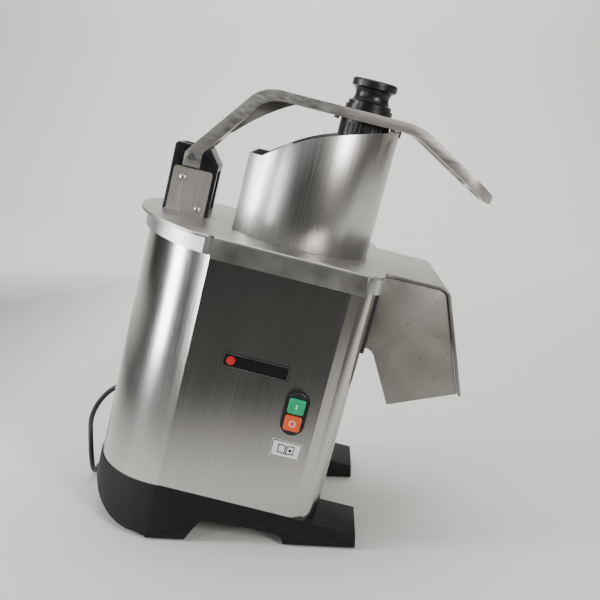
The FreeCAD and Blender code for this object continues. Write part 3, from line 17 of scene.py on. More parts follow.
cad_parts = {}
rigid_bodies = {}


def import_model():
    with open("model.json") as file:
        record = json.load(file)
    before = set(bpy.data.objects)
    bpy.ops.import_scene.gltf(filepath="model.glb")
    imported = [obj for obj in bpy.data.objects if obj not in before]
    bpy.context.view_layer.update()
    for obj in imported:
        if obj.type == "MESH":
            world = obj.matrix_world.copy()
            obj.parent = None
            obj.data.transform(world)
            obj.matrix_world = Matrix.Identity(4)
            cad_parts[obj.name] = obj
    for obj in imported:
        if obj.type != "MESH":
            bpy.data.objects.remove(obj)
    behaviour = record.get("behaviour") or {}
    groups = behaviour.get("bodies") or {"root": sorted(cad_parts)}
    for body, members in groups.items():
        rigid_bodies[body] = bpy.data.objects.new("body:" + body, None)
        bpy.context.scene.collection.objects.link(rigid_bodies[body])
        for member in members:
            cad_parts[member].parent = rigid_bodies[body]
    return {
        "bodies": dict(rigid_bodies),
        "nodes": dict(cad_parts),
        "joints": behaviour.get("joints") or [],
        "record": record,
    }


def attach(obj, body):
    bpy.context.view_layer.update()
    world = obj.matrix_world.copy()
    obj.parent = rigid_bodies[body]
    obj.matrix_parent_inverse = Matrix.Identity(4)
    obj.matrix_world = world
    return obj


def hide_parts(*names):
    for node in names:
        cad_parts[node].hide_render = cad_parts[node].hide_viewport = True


LOG = logging.getLogger("dicer")

Colour = tuple[float, float, float]
Triple = tuple[float, float, float]

LEAN = 12.0
MACHINE_ORIGIN = (-0.0601457, -0.00465, 0.054)
NEAR_FACE = -0.1395


def leaned() -> Matrix:
    """The turn and move from machine coordinates to bench coordinates."""
    return Matrix.Translation(MACHINE_ORIGIN) @ Matrix.Rotation(math.radians(LEAN), 4, "Y")


# ---- finishes ------------------------------------------------------------------------------------


class Grain(Enum):
    """How many times finer a finish's lines are along each machine axis."""

    UPRIGHT = (1100.0, 1100.0, 7.0)
    LENGTHWISE = (9.0, 900.0, 260.0)
    TURNED = (60.0, 60.0, 2200.0)
    EVEN = (600.0, 600.0, 600.0)


class Sheet:
    """A material that is being drawn: its Principled shader and short calls for the nodes that feed it."""

    def __init__(self, name: str) -> None:
        """Start an empty material.

        Args:
            name: The material's name.
        """
        self.material = bpy.data.materials.new(name)
        self.material.use_nodes = True
        self.tree = self.material.node_tree
        self.tree.nodes.clear()
        output = self.node("ShaderNodeOutputMaterial")
        self.shader = self.node("ShaderNodeBsdfPrincipled")
        self.tree.links.new(self.shader.outputs["BSDF"], output.inputs["Surface"])

    def node(self, kind: str) -> bpy.types.Node:
        """A new node of one kind."""
        return self.tree.nodes.new(kind)

    def join(self, source: bpy.types.NodeSocket, target: bpy.types.NodeSocket) -> None:
        """Link an output to an input."""
        self.tree.links.new(source, target)

    def places(self, scale: Triple, upright: bool = True) -> bpy.types.NodeSocket:
        """The piece's own coordinates, stretched, and along the leaning body where asked.

        Args:
            scale: How much finer the pattern is along each axis.
            upright: Whether the axes lean with the body.

        Returns:
            The stretched coordinates.
        """
        own = self.node("ShaderNodeTexCoord")
        mapping = self.node("ShaderNodeMapping")
        mapping.vector_type = "TEXTURE"
        mapping.inputs["Rotation"].default_value = (0.0, math.radians(LEAN) if upright else 0.0, 0.0)
        mapping.inputs["Scale"].default_value = tuple(1.0 / part for part in scale)
        self.join(own.outputs["Object"], mapping.inputs["Vector"])
        return mapping.outputs["Vector"]

    def noise(self, places: bpy.types.NodeSocket, detail: float = 3.0,
              rough: float = 0.55) -> bpy.types.NodeSocket:
        """Soft noise from 0 to 1.

        Args:
            places: The coordinates that it follows.
            detail: How many finer layers it has.
            rough: How strong those layers are.

        Returns:
            The noise's value.
        """
        cloud = self.node("ShaderNodeTexNoise")
        cloud.inputs["Scale"].default_value = 1.0
        cloud.inputs["Detail"].default_value = detail
        cloud.inputs["Roughness"].default_value = rough
        self.join(places, cloud.inputs["Vector"])
        return cloud.outputs["Fac"]

    def cells(self, places: bpy.types.NodeSocket) -> bpy.types.NodeSocket:
        """The distance to the nearest of many scattered points."""
        spots = self.node("ShaderNodeTexVoronoi")
        spots.inputs["Scale"].default_value = 1.0
        self.join(places, spots.inputs["Vector"])
        return spots.outputs["Distance"]

    def spread(self, value: bpy.types.NodeSocket, low: float, high: float,
               start: float = 0.3, end: float = 0.7) -> bpy.types.NodeSocket:
        """A value moved from one span to another.

        Args:
            value: What is moved.
            low: The result at the start of the span.
            high: The result at its end.
            start: Where the span starts.
            end: Where it ends.

        Returns:
            The moved value.
        """
        span = self.node("ShaderNodeMapRange")
        for name, number in (("From Min", start), ("From Max", end), ("To Min", low), ("To Max", high)):
            span.inputs[name].default_value = number
        self.join(value, span.inputs["Value"])
        return span.outputs["Result"]

    def sums(self, first: bpy.types.NodeSocket, second: bpy.types.NodeSocket,
             operation: str = "ADD") -> bpy.types.NodeSocket:
        """Two values put together by one operation."""
        both = self.node("ShaderNodeMath")
        both.operation = operation
        self.join(first, both.inputs[0])
        self.join(second, both.inputs[1])
        return both.outputs["Value"]

    def blend(self, share: bpy.types.NodeSocket, low: Colour, high: Colour) -> bpy.types.NodeSocket:
        """A colour between two, by a share from 0 to 1."""
        ramp = self.node("ShaderNodeValToRGB")
        ramp.color_ramp.elements[0].color = (*low, 1.0)
        ramp.color_ramp.elements[1].color = (*high, 1.0)
        self.join(share, ramp.inputs["Fac"])
        return ramp.outputs["Color"]

    def stain(self, share: bpy.types.NodeSocket, ground: bpy.types.NodeSocket,
              colour: Colour) -> bpy.types.NodeSocket:
        """A colour laid over another where a share says so."""
        mix = self.node("ShaderNodeMix")
        mix.data_type = "RGBA"
        mix.inputs[7].default_value = (*colour, 1.0)
        self.join(share, mix.inputs[0])
        self.join(ground, mix.inputs[6])
        return mix.outputs[2]

    def height(self, source: bpy.types.NodeSocket) -> bpy.types.NodeSocket:
        """The height above the bench, in metres."""
        split = self.node("ShaderNodeSeparateXYZ")
        self.join(source, split.inputs[0])
        return split.outputs["Z"]

    def bumps(self, height: bpy.types.NodeSocket, depth: float) -> None:
        """Give the shader a relief.

        Args:
            height: The relief, from 0 to 1.
            depth: The relief's depth in metres.
        """
        bump = self.node("ShaderNodeBump")
        bump.inputs["Strength"].default_value = 1.0
        bump.inputs["Distance"].default_value = depth
        self.join(height, bump.inputs["Height"])
        self.join(bump.outputs["Normal"], self.shader.inputs["Normal"])

    def fixed(self, **values: float) -> None:
        """Set the shader's constant inputs, with _ for a space in their names."""
        for name, value in values.items():
            self.shader.inputs[name.replace("_", " ")].default_value = value


@dataclass(frozen=True)
class BrushedMetal:
    """Steel or aluminium with fine lines one way, faint smears and a few deeper scratches."""

    dark: Colour
    light: Colour
    smooth: float
    rough: float
    grain: Grain = Grain.UPRIGHT
    depth: float = 0.00004
    smear: float = 0.10
    soil_and_shade: Colour = (0.20, 0.18, 0.16)
    soil_and_shade_share: float = 0.0

    def draw(self, name: str) -> bpy.types.Material:
        """The finished material."""
        sheet = Sheet(name)
        lines = sheet.noise(sheet.places(self.grain.value), 4.0, 0.6)
        cloud = sheet.noise(sheet.places((14.0, 14.0, 9.0)), 4.0, 0.6)
        wide = tuple(part * 0.12 for part in self.grain.value)
        scratches = sheet.spread(sheet.noise(sheet.places(wide), 2.0), 0.0, 1.0, 0.62, 0.74)
        tone = sheet.blend(sheet.spread(lines, 0.0, 1.0), self.dark, self.light)
        # Brown clouds over the tone: painted shade on the lever, soil elsewhere.
        soil_and_shade = sheet.spread(cloud, 0.0, self.soil_and_shade_share, 0.48, 0.72)
        sheet.join(sheet.stain(soil_and_shade, tone, self.soil_and_shade), sheet.shader.inputs["Base Color"])
        worn = sheet.sums(sheet.spread(lines, self.smooth, self.rough), sheet.spread(cloud, 0.0, self.smear))
        sheet.join(worn, sheet.shader.inputs["Roughness"])
        sheet.bumps(sheet.sums(lines, sheet.spread(scratches, 0.0, 0.5, 0.0, 1.0)), self.depth)
        sheet.fixed(Metallic=1.0)
        return sheet.material


@dataclass(frozen=True)
class CastMetal:
    """A blasted or tumbled casting: an even fine tooth, clouded tone and scattered dark pits."""

    dark: Colour
    light: Colour
    smooth: float
    rough: float
    tooth: float = 1500.0
    depth: float = 0.00012
    pitted: float = 0.0
    pit: Colour = (0.05, 0.045, 0.04)

    def draw(self, name: str) -> bpy.types.Material:
        """The finished material."""
        sheet = Sheet(name)
        tooth = sheet.noise(sheet.places((self.tooth,) * 3), 3.0, 0.6)
        cloud = sheet.noise(sheet.places((26.0, 26.0, 26.0)), 5.0, 0.6)
        spots = sheet.spread(sheet.cells(sheet.places((210.0, 210.0, 210.0))), 1.0, 0.0, 0.10, 0.20)
        patches = sheet.noise(sheet.places((60.0, 60.0, 60.0)), 2.0)
        pitted = sheet.spread(patches, 0.0, self.pitted, 0.52, 0.60)
        pits = sheet.sums(spots, pitted, "MULTIPLY")
        tone = sheet.blend(sheet.spread(cloud, 0.0, 1.0), self.dark, self.light)
        sheet.join(sheet.stain(pits, tone, self.pit), sheet.shader.inputs["Base Color"])
        sheet.join(sheet.spread(cloud, self.smooth, self.rough), sheet.shader.inputs["Roughness"])
        sheet.bumps(sheet.sums(tooth, pits, "SUBTRACT"), self.depth)
        sheet.fixed(Metallic=1.0)
        return sheet.material


@dataclass(frozen=True)
class Moulding:
    """Moulded plastic, rubber or enamel: a fine tooth, uneven sheen, and scuffs low down where asked."""

    dark: Colour
    light: Colour
    smooth: float
    rough: float
    tooth: float = 2200.0
    depth: float = 0.00005
    scuffed: float = 0.0
    scuff: Colour = (0.11, 0.11, 0.11)
    coat: float = 0.0
    shine: float = 0.5

    def draw(self, name: str) -> bpy.types.Material:
        """The finished material."""
        sheet = Sheet(name)
        tooth = sheet.noise(sheet.places((self.tooth,) * 3), 2.0, 0.5)
        cloud = sheet.noise(sheet.places((34.0, 34.0, 34.0)), 5.0, 0.62)
        marks = sheet.noise(sheet.places((55.0, 90.0, 420.0)), 3.0, 0.7)
        tone = sheet.blend(sheet.spread(cloud, 0.0, 1.0), self.dark, self.light)
        height = sheet.height(sheet.places((1.0, 1.0, 1.0), False))
        low = sheet.spread(height, self.scuffed, 0.0, 0.004, 0.055)
        worn = sheet.sums(low, sheet.spread(marks, 0.0, 1.0, 0.52, 0.66), "MULTIPLY")
        sheet.join(sheet.stain(worn, tone, self.scuff), sheet.shader.inputs["Base Color"])
        clouded = sheet.spread(cloud, self.smooth, self.rough)
        sheen = sheet.sums(clouded, sheet.spread(worn, 0.0, 0.15, 0.0, 1.0))
        sheet.join(sheen, sheet.shader.inputs["Roughness"])
        sheet.bumps(tooth, self.depth)
        sheet.fixed(Coat_Weight=self.coat, Coat_Roughness=0.12, Specular_IOR_Level=self.shine)
        return sheet.material


Finish = BrushedMetal | CastMetal | Moulding

FINISHES: dict[str, Finish] = {
    "base_plastic": Moulding((0.0075, 0.0075, 0.008), (0.0095, 0.0095, 0.010), 0.54, 0.62, 1500.0,
                             0.00014, 0.10, shine=0.15),
    "foot_rubber": Moulding((0.012, 0.012, 0.012), (0.022, 0.022, 0.021), 0.72, 0.86, 900.0, 0.0001, 0.8),
    "brushed_steel": BrushedMetal((0.47, 0.455, 0.435), (0.55, 0.535, 0.51), 0.13, 0.18, depth=0.000006,
                                  smear=0.05),
    "cast_aluminium": CastMetal((0.52, 0.52, 0.51), (0.68, 0.68, 0.67), 0.30, 0.44, 1100.0, 0.00006),
    "chute_casting": CastMetal((0.27, 0.26, 0.24), (0.34, 0.33, 0.305), 0.46, 0.62, 1300.0, 0.00016, 0.95),
    "lid_aluminium": CastMetal((0.35, 0.34, 0.32), (0.44, 0.43, 0.41), 0.34, 0.48, 1500.0, 0.00006, 0.25),
    # The lever's strong brown clouds are painted shade.
    "lever_aluminium": BrushedMetal((0.48, 0.46, 0.43), (0.66, 0.64, 0.61), 0.30, 0.42, Grain.LENGTHWISE,
                                    0.00003, 0.12, (0.26, 0.21, 0.17), 0.55),
    "turned_aluminium": BrushedMetal((0.52, 0.52, 0.52), (0.70, 0.70, 0.70), 0.22, 0.34, Grain.TURNED),
    "satin_steel": BrushedMetal((0.54, 0.505, 0.47), (0.68, 0.645, 0.60), 0.36, 0.48, Grain.UPRIGHT,
                                0.00003, 0.10, (0.24, 0.20, 0.16), 0.35),
    "ground_steel": BrushedMetal((0.44, 0.44, 0.45), (0.60, 0.60, 0.61), 0.16, 0.27, Grain.TURNED),
    "zinc_plate": CastMetal((0.42, 0.44, 0.47), (0.60, 0.62, 0.64), 0.30, 0.45, 700.0, 0.00004),
    "screw_steel": BrushedMetal((0.50, 0.49, 0.48), (0.58, 0.57, 0.56), 0.24, 0.32, Grain.EVEN),
    "black_nylon": Moulding((0.006, 0.006, 0.0065), (0.009, 0.009, 0.010), 0.30, 0.38, 1800.0, 0.00005),
    "seal_rubber": Moulding((0.010, 0.010, 0.010), (0.018, 0.018, 0.018), 0.60, 0.78, 900.0, 0.00008),
    "belt_rubber": Moulding((0.014, 0.014, 0.014), (0.028, 0.027, 0.026), 0.66, 0.82, 700.0, 0.00012),
    "motor_enamel": Moulding((0.030, 0.040, 0.055), (0.045, 0.058, 0.075), 0.34, 0.46, 500.0, 0.0001,
                             coat=0.3),
    "capacitor_can": CastMetal((0.50, 0.50, 0.50), (0.64, 0.64, 0.64), 0.26, 0.36, 900.0, 0.00003),
    "switch_plastic": Moulding((0.010, 0.010, 0.011), (0.017, 0.017, 0.018), 0.30, 0.40, 1500.0, 0.00003),
    "button_green": Moulding((0.010, 0.30, 0.13), (0.018, 0.40, 0.18), 0.26, 0.36, 1500.0, 0.00002,
                             coat=0.12),
    "button_red": Moulding((0.62, 0.075, 0.022), (0.74, 0.110, 0.030), 0.26, 0.36, 1500.0, 0.00002,
                           coat=0.12),
    "badge_black": Moulding((0.006, 0.006, 0.006), (0.010, 0.010, 0.010), 0.16, 0.26, 1500.0, 0.00001,
                            coat=0.5),
    "label_white": Moulding((0.70, 0.70, 0.68), (0.80, 0.80, 0.78), 0.34, 0.46, 1500.0, 0.00002),
    "cord_black": Moulding((0.008, 0.008, 0.008), (0.015, 0.015, 0.015), 0.40, 0.54, 1300.0, 0.00008),
}

PRINTS: dict[str, Finish] = {
    "ink_black": Moulding((0.008, 0.008, 0.008), (0.014, 0.014, 0.014), 0.40, 0.52),
    "ink_white": Moulding((0.72, 0.74, 0.72), (0.84, 0.86, 0.84), 0.34, 0.46),
    "hopper_satin": BrushedMetal((0.50, 0.49, 0.47), (0.60, 0.59, 0.57), 0.24, 0.32, depth=0.000008,
                                 smear=0.05),
    "badge_silver": BrushedMetal((0.55, 0.55, 0.55), (0.74, 0.74, 0.74), 0.22, 0.34, Grain.LENGTHWISE),
    "badge_red": Moulding((0.50, 0.018, 0.014), (0.62, 0.030, 0.020), 0.22, 0.32, coat=0.4),
    "plug_brass": BrushedMetal((0.62, 0.46, 0.20), (0.78, 0.60, 0.30), 0.24, 0.36, Grain.LENGTHWISE),
    "tie_nylon": Moulding((0.014, 0.014, 0.015), (0.026, 0.026, 0.027), 0.40, 0.50),
}


class Paintbox:
    """Draws each finish once and hands it out by name."""

    def __init__(self) -> None:
        """Start with nothing drawn."""
        self.drawn: dict[str, bpy.types.Material] = {}

    def get(self, name: str) -> bpy.types.Material:
        """The material of one finish."""
        if name not in self.drawn:
            finish = FINISHES.get(name) or PRINTS[name]
            self.drawn[name] = finish.draw(name)
        return self.drawn[name]


# ---- modelling calls -----------------------------------------------------------------------------


def pick(piece: bpy.types.Object) -> None:
    """Select one piece alone and make it the active one."""
    bpy.ops.object.select_all(action="DESELECT")
    piece.select_set(True)
    bpy.context.view_layer.objects.active = piece


def start(name: str, primitive: Callable[..., set], **sizes: object) -> bpy.types.Object:
    """Add a primitive and leave it in edit mode, all selected.

    Args:
        name: The new piece's name.
        primitive: The operator that adds it.
        **sizes: That operator's sizes and place.

    Returns:
        The new piece.
    """
    bpy.ops.object.select_all(action="DESELECT")
    primitive(**sizes)
    piece = bpy.context.active_object
    piece.name = name
    bpy.ops.object.mode_set(mode="EDIT")
    bpy.ops.mesh.select_all(action="SELECT")
    return piece


def settle(piece: bpy.types.Object, place: Matrix) -> None:
    """Leave edit mode, apply the object's own place, and move the mesh by one more.

    Args:
        piece: The piece that is finished.
        place: The move that takes its mesh to the bench.
    """
    bpy.ops.object.mode_set(mode="OBJECT")
    pick(piece)
    bpy.ops.object.transform_apply(location=True, rotation=True, scale=True)
    piece.data.transform(place)
    bpy.ops.object.shade_smooth_by_angle(angle=math.radians(35.0))


def thicken(rise: float) -> None:
    """Raise the selected outline or face by a thickness and turn every face outwards."""
    bpy.ops.mesh.extrude_region_move(TRANSFORM_OT_translate={"value": (0.0, 0.0, rise)})
    face_outwards()


def face_outwards() -> None:
    """Turn every face of the mesh that is being edited outwards."""
    bpy.ops.mesh.select_all(action="SELECT")
    bpy.ops.mesh.normals_make_consistent(inside=False)


def hollow(rim: float) -> None:
    """Leave only a rim of the selected face."""
    bpy.ops.mesh.inset(thickness=rim)
    bpy.ops.mesh.delete(type="FACE")
    bpy.ops.mesh.select_all(action="SELECT")


def modify(piece: bpy.types.Object, kind: str, **settings: object) -> None:
    """Add a modifier, set it and apply it.

    Args:
        piece: The piece that it works on.
        kind: The modifier's type.
        **settings: Its settings.
    """
    pick(piece)
    modifier = piece.modifiers.new(kind.title(), kind)
    for name, value in settings.items():
        setattr(modifier, name, value)
    bpy.ops.object.modifier_apply(modifier=modifier.name)


@dataclass
class Workshop:
    """What every sub-assembly needs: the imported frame, the nodes' slots and bodies, and the finishes."""

    frame: dict
    paints: Paintbox = field(default_factory=Paintbox)
    slots: dict[str, str] = field(default_factory=dict)
    bodies: dict[str, str] = field(default_factory=dict)

    def read(self) -> None:
        """Note each node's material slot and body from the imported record."""
        record = self.frame["record"]
        self.slots = {part["node"]: part["material_slot"] for part in record["subparts"]}
        for body, nodes in record["behaviour"]["bodies"].items():
            for node in nodes:
                self.bodies[node] = body

    def dress(self, piece: bpy.types.Object, finish: str) -> None:
        """Give a whole piece one finish."""
        material = self.paints.get(finish)
        if not piece.material_slots:
            piece.data.materials.append(material)
        for slot in piece.material_slots:
            slot.material = material

    def dress_nodes(self) -> None:
        """Give every node of the frame the finish of its slot."""
        for name, slot in self.slots.items():
            self.dress(self.frame["nodes"][name], slot)
        LOG.info("dressed %d nodes", len(self.slots))

    def softened(self, node: str, width: float, segments: int = 3, angle: float = 32.0) -> bpy.types.Object:
        """A copy of a node with its doubles merged and its sharp edges rounded, standing for the node.

        Args:
            node: The node that is copied.
            width: The rounding's width.
            segments: The rounding's steps.
            angle: Edges sharper than this are rounded.

        Returns:
            The rounded copy.
        """
        source = self.frame["nodes"][node]
        piece = bpy.data.objects.new(node + "_rounded", source.data.copy())
        bpy.context.scene.collection.objects.link(piece)
        pick(piece)
        bpy.ops.object.mode_set(mode="EDIT")
        bpy.ops.mesh.select_all(action="SELECT")
        bpy.ops.mesh.remove_doubles(threshold=0.00002)
        bpy.ops.mesh.customdata_custom_splitnormals_clear()
        bpy.ops.mesh.dissolve_limited(angle_limit=math.radians(0.6))
        bpy.ops.object.mode_set(mode="OBJECT")
        modify(piece, "BEVEL", width=width, segments=segments, limit_method="ANGLE",
               angle_limit=math.radians(angle), use_clamp_overlap=True)
        pick(piece)
        bpy.ops.object.shade_smooth_by_angle(angle=math.radians(30.0))
        self.keep(piece, self.bodies[node], self.slots[node])
        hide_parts(node)
        return piece

    def keep(self, piece: bpy.types.Object, body: str, slot: str, finish: str | None = None) -> None:
        """Attach a piece to its body, dress it and report it.

        Args:
            piece: The new piece.
            body: The body that it rides on.
            slot: The record's slot that it takes its finish from.
            finish: Its finish, where that isn't the slot's own.
        """
        self.dress(piece, finish or slot)
        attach(piece, body)
        LOG.info("%s rides on %s with %d faces", piece.name, body, len(piece.data.polygons))


# ---- cord ----------------------------------------------------------------------------------------


@dataclass
class Cord:
    """The mains cord: out of its strain relief, down behind the base, and away in a coil with its plug."""

    shop: Workshop
    diameter: float = 0.007
    length: float = 1.46
    route: tuple[Triple, ...] = (
        (-0.23888, 0.06178, 0.13011), (-0.25379, 0.06405, 0.12204), (-0.26628, 0.06058, 0.11091),
        (-0.27498, 0.05128, 0.09851), (-0.27838, 0.03498, 0.08511), (-0.27338, 0.01568, 0.0682),
        (-0.27115, 0.00935, 0.043), (-0.27215, 0.01835, 0.0185), (-0.27515, 0.04035, 0.0035),
        (-0.27415, 0.07035, 0.0035), (-0.26415, 0.10335, 0.0035), (-0.24415, 0.13735, 0.0035),
        (-0.21615, 0.16535, 0.0035), (-0.18115, 0.17835, 0.0035), (-0.14815, 0.16835, 0.0035))
    coil_centre: tuple[float, float] = (-0.12015, 0.20735)
    coil_outer: float = 0.0472
    coil_inner: float = 0.0326
    coil_first: float = 255.0
    coil_last: float = 1710.0
    points_per_turn: int = 16
    low: float = 0.0035
    high: float = 0.0106
    relief_radius: float = 0.0056
    relief_start: float = 0.0012
    rib_count: int = 6
    tie_gap: float = 0.0004
    tie_width: float = 0.0045
    tie_lift: float = 0.0010
    pins_ahead: float = 0.0947

    def coil(self) -> list[Triple]:
        """The turns: inwards on the bench, then outwards on top of them.

        Returns:
            The coil's points.
        """
        points = []
        count = round((self.coil_last - self.coil_first) / 360.0 * self.points_per_turn)
        for number in range(count + 1):
            share = number / count
            angle = math.radians(self.coil_first + (self.coil_last - self.coil_first) * share)
            inward = 1.0 - abs(2.0 * share - 1.0)
            radius = self.coil_outer + (self.coil_inner - self.coil_outer) * inward
            climb = min(max((number - count / 2.0) / 3.0, 0.0), 1.0)
            x = self.coil_centre[0] + radius * math.cos(angle)
            y = self.coil_centre[1] + radius * math.sin(angle)
            points.append((x, y, self.low + (self.high - self.low) * climb))
        return points

    def lead(self) -> list[Triple]:
        """The straight end that runs from the coil into the plug's boot."""
        x, y = self.coil_centre
        return [(x + step, y - self.coil_outer, height)
                for step, height in ((0.010, 0.0100), (0.018, 0.0082), (0.027, 0.0075))]

    def build(self) -> None:
        curve = bpy.data.curves.new("mains_cord", "CURVE")
        curve.dimensions = "3D"
        curve.bevel_depth = self.diameter / 2.0
        curve.bevel_resolution = 5
        curve.resolution_u = 8
        curve.use_fill_caps = True
        points = [*self.route, *self.coil(), *self.lead()]
        spline = curve.splines.new("NURBS")
        spline.points.add(len(points) - 1)
        for target, point in zip(spline.points, points):
            target.co = (*point, 1.0)
        spline.order_u = 3
        spline.use_endpoint_u = True
        cord = bpy.data.objects.new("mains_cord", curve)
        bpy.context.scene.collection.objects.link(cord)
        curve.materials.append(self.shop.paints.get("cord_black"))
        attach(cord, "root")
        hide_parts("power_cord", "cord_coil")
        extras = [self.relief_ribs(), self.coil_tie(), self.plug(), "cord_gland"]
        LOG.info("mains_cord has %d points", len(points))

    def relief_ribs(self) -> bpy.types.Object:
        """Soft rings round the tapered strain relief.

        Returns:
            The rings as one piece.
        """
        mouth = Vector(self.route[0])
        way = (Vector(self.route[1]) - mouth).normalized()
        piece = start("relief_ribs", bpy.ops.mesh.primitive_circle_add, vertices=40,
                      radius=self.relief_radius)
        for _ in range(self.rib_count):
            for rise, growth in ((0.0006, 1.13), (0.0009, 1.0), (0.0006, 1.0 / 1.13), (0.0010, 1.035)):
                bpy.ops.mesh.extrude_region_move(TRANSFORM_OT_translate={"value": (0.0, 0.0, -rise)})
                bpy.ops.transform.resize(value=(growth, growth, 1.0))
        face_outwards()
        turn = way.to_track_quat("Z", "Y").to_matrix().to_4x4()
        settle(piece, Matrix.Translation(mouth - way * self.relief_start) @ turn)
        modify(piece, "SOLIDIFY", thickness=0.0008, offset=-1.0)
        self.shop.keep(piece, "root", "cord_black")
        return piece

    def coil_tie(self) -> bpy.types.Object:
        """A plain strap round the coil's turns.

        Returns:
            The tie as one piece.
        """
        middle = (self.coil_outer + self.coil_inner) / 2.0
        across = (self.coil_outer - self.coil_inner) / 2.0 + self.diameter / 2.0 + self.tie_gap
        tall = self.high + self.diameter / 2.0 + self.tie_gap
        piece = start("coil_tie", bpy.ops.mesh.primitive_plane_add, size=1.0)
        bpy.ops.transform.resize(value=(2.0 * across, tall, 1.0))
        bpy.ops.mesh.bevel(offset=0.0034, segments=5, affect="VERTICES")
        bpy.ops.mesh.delete(type="ONLY_FACE")
        bpy.ops.mesh.select_all(action="SELECT")
        thicken(self.tie_width)
        stand = Matrix.Rotation(math.radians(90.0), 4, "X")
        x, y = self.coil_centre
        place = Matrix.Translation((x, y + 0.002, tall / 2.0 + self.tie_lift))
        settle(piece, place @ Matrix.Translation((middle, 0.0, 0.0)) @ stand)
        modify(piece, "SOLIDIFY", thickness=0.0009, offset=1.0)
        self.shop.keep(piece, "root", "cord_black", "tie_nylon")
        return piece

    def plug(self) -> bpy.types.Object:
        """The moulded plug with bright brass pins.

        Returns:
            The plug, standing for its node.
        """
        piece = self.shop.softened("power_plug", 0.0006, 2, 50.0)
        piece.data.materials.append(self.shop.paints.get("plug_brass"))
        pins_from = self.coil_centre[0] + self.pins_ahead
        for face in piece.data.polygons:
            if face.center.x > pins_from:
                face.material_index = len(piece.data.materials) - 1
        return piece


# ---- body ----------------------------------------------------------------------------------------


@dataclass
class Body:
    """The base, the hopper, the lid, the chute, the hinge block and the lever, with softened edges."""

    shop: Workshop
    roundings: tuple[tuple[str, float, int], ...] = (
        ("base_housing", 0.0022, 3),
        ("feed_hopper", 0.0005, 2),
        ("lid_plate", 0.0009, 3),
        ("discharge_chute", 0.0010, 2),
        ("hinge_block", 0.0012, 3),
        ("feed_lever", 0.0028, 4))

    def build(self) -> None:
        """Make the rounded copies; the hopper is duller than the body's steel."""
        copies = {node: self.shop.softened(node, width, segments) for node, width, segments in self.roundings}
        self.shop.dress(copies["feed_hopper"], "hopper_satin")


# ---- prints and marks ----------------------------------------------------------------------------


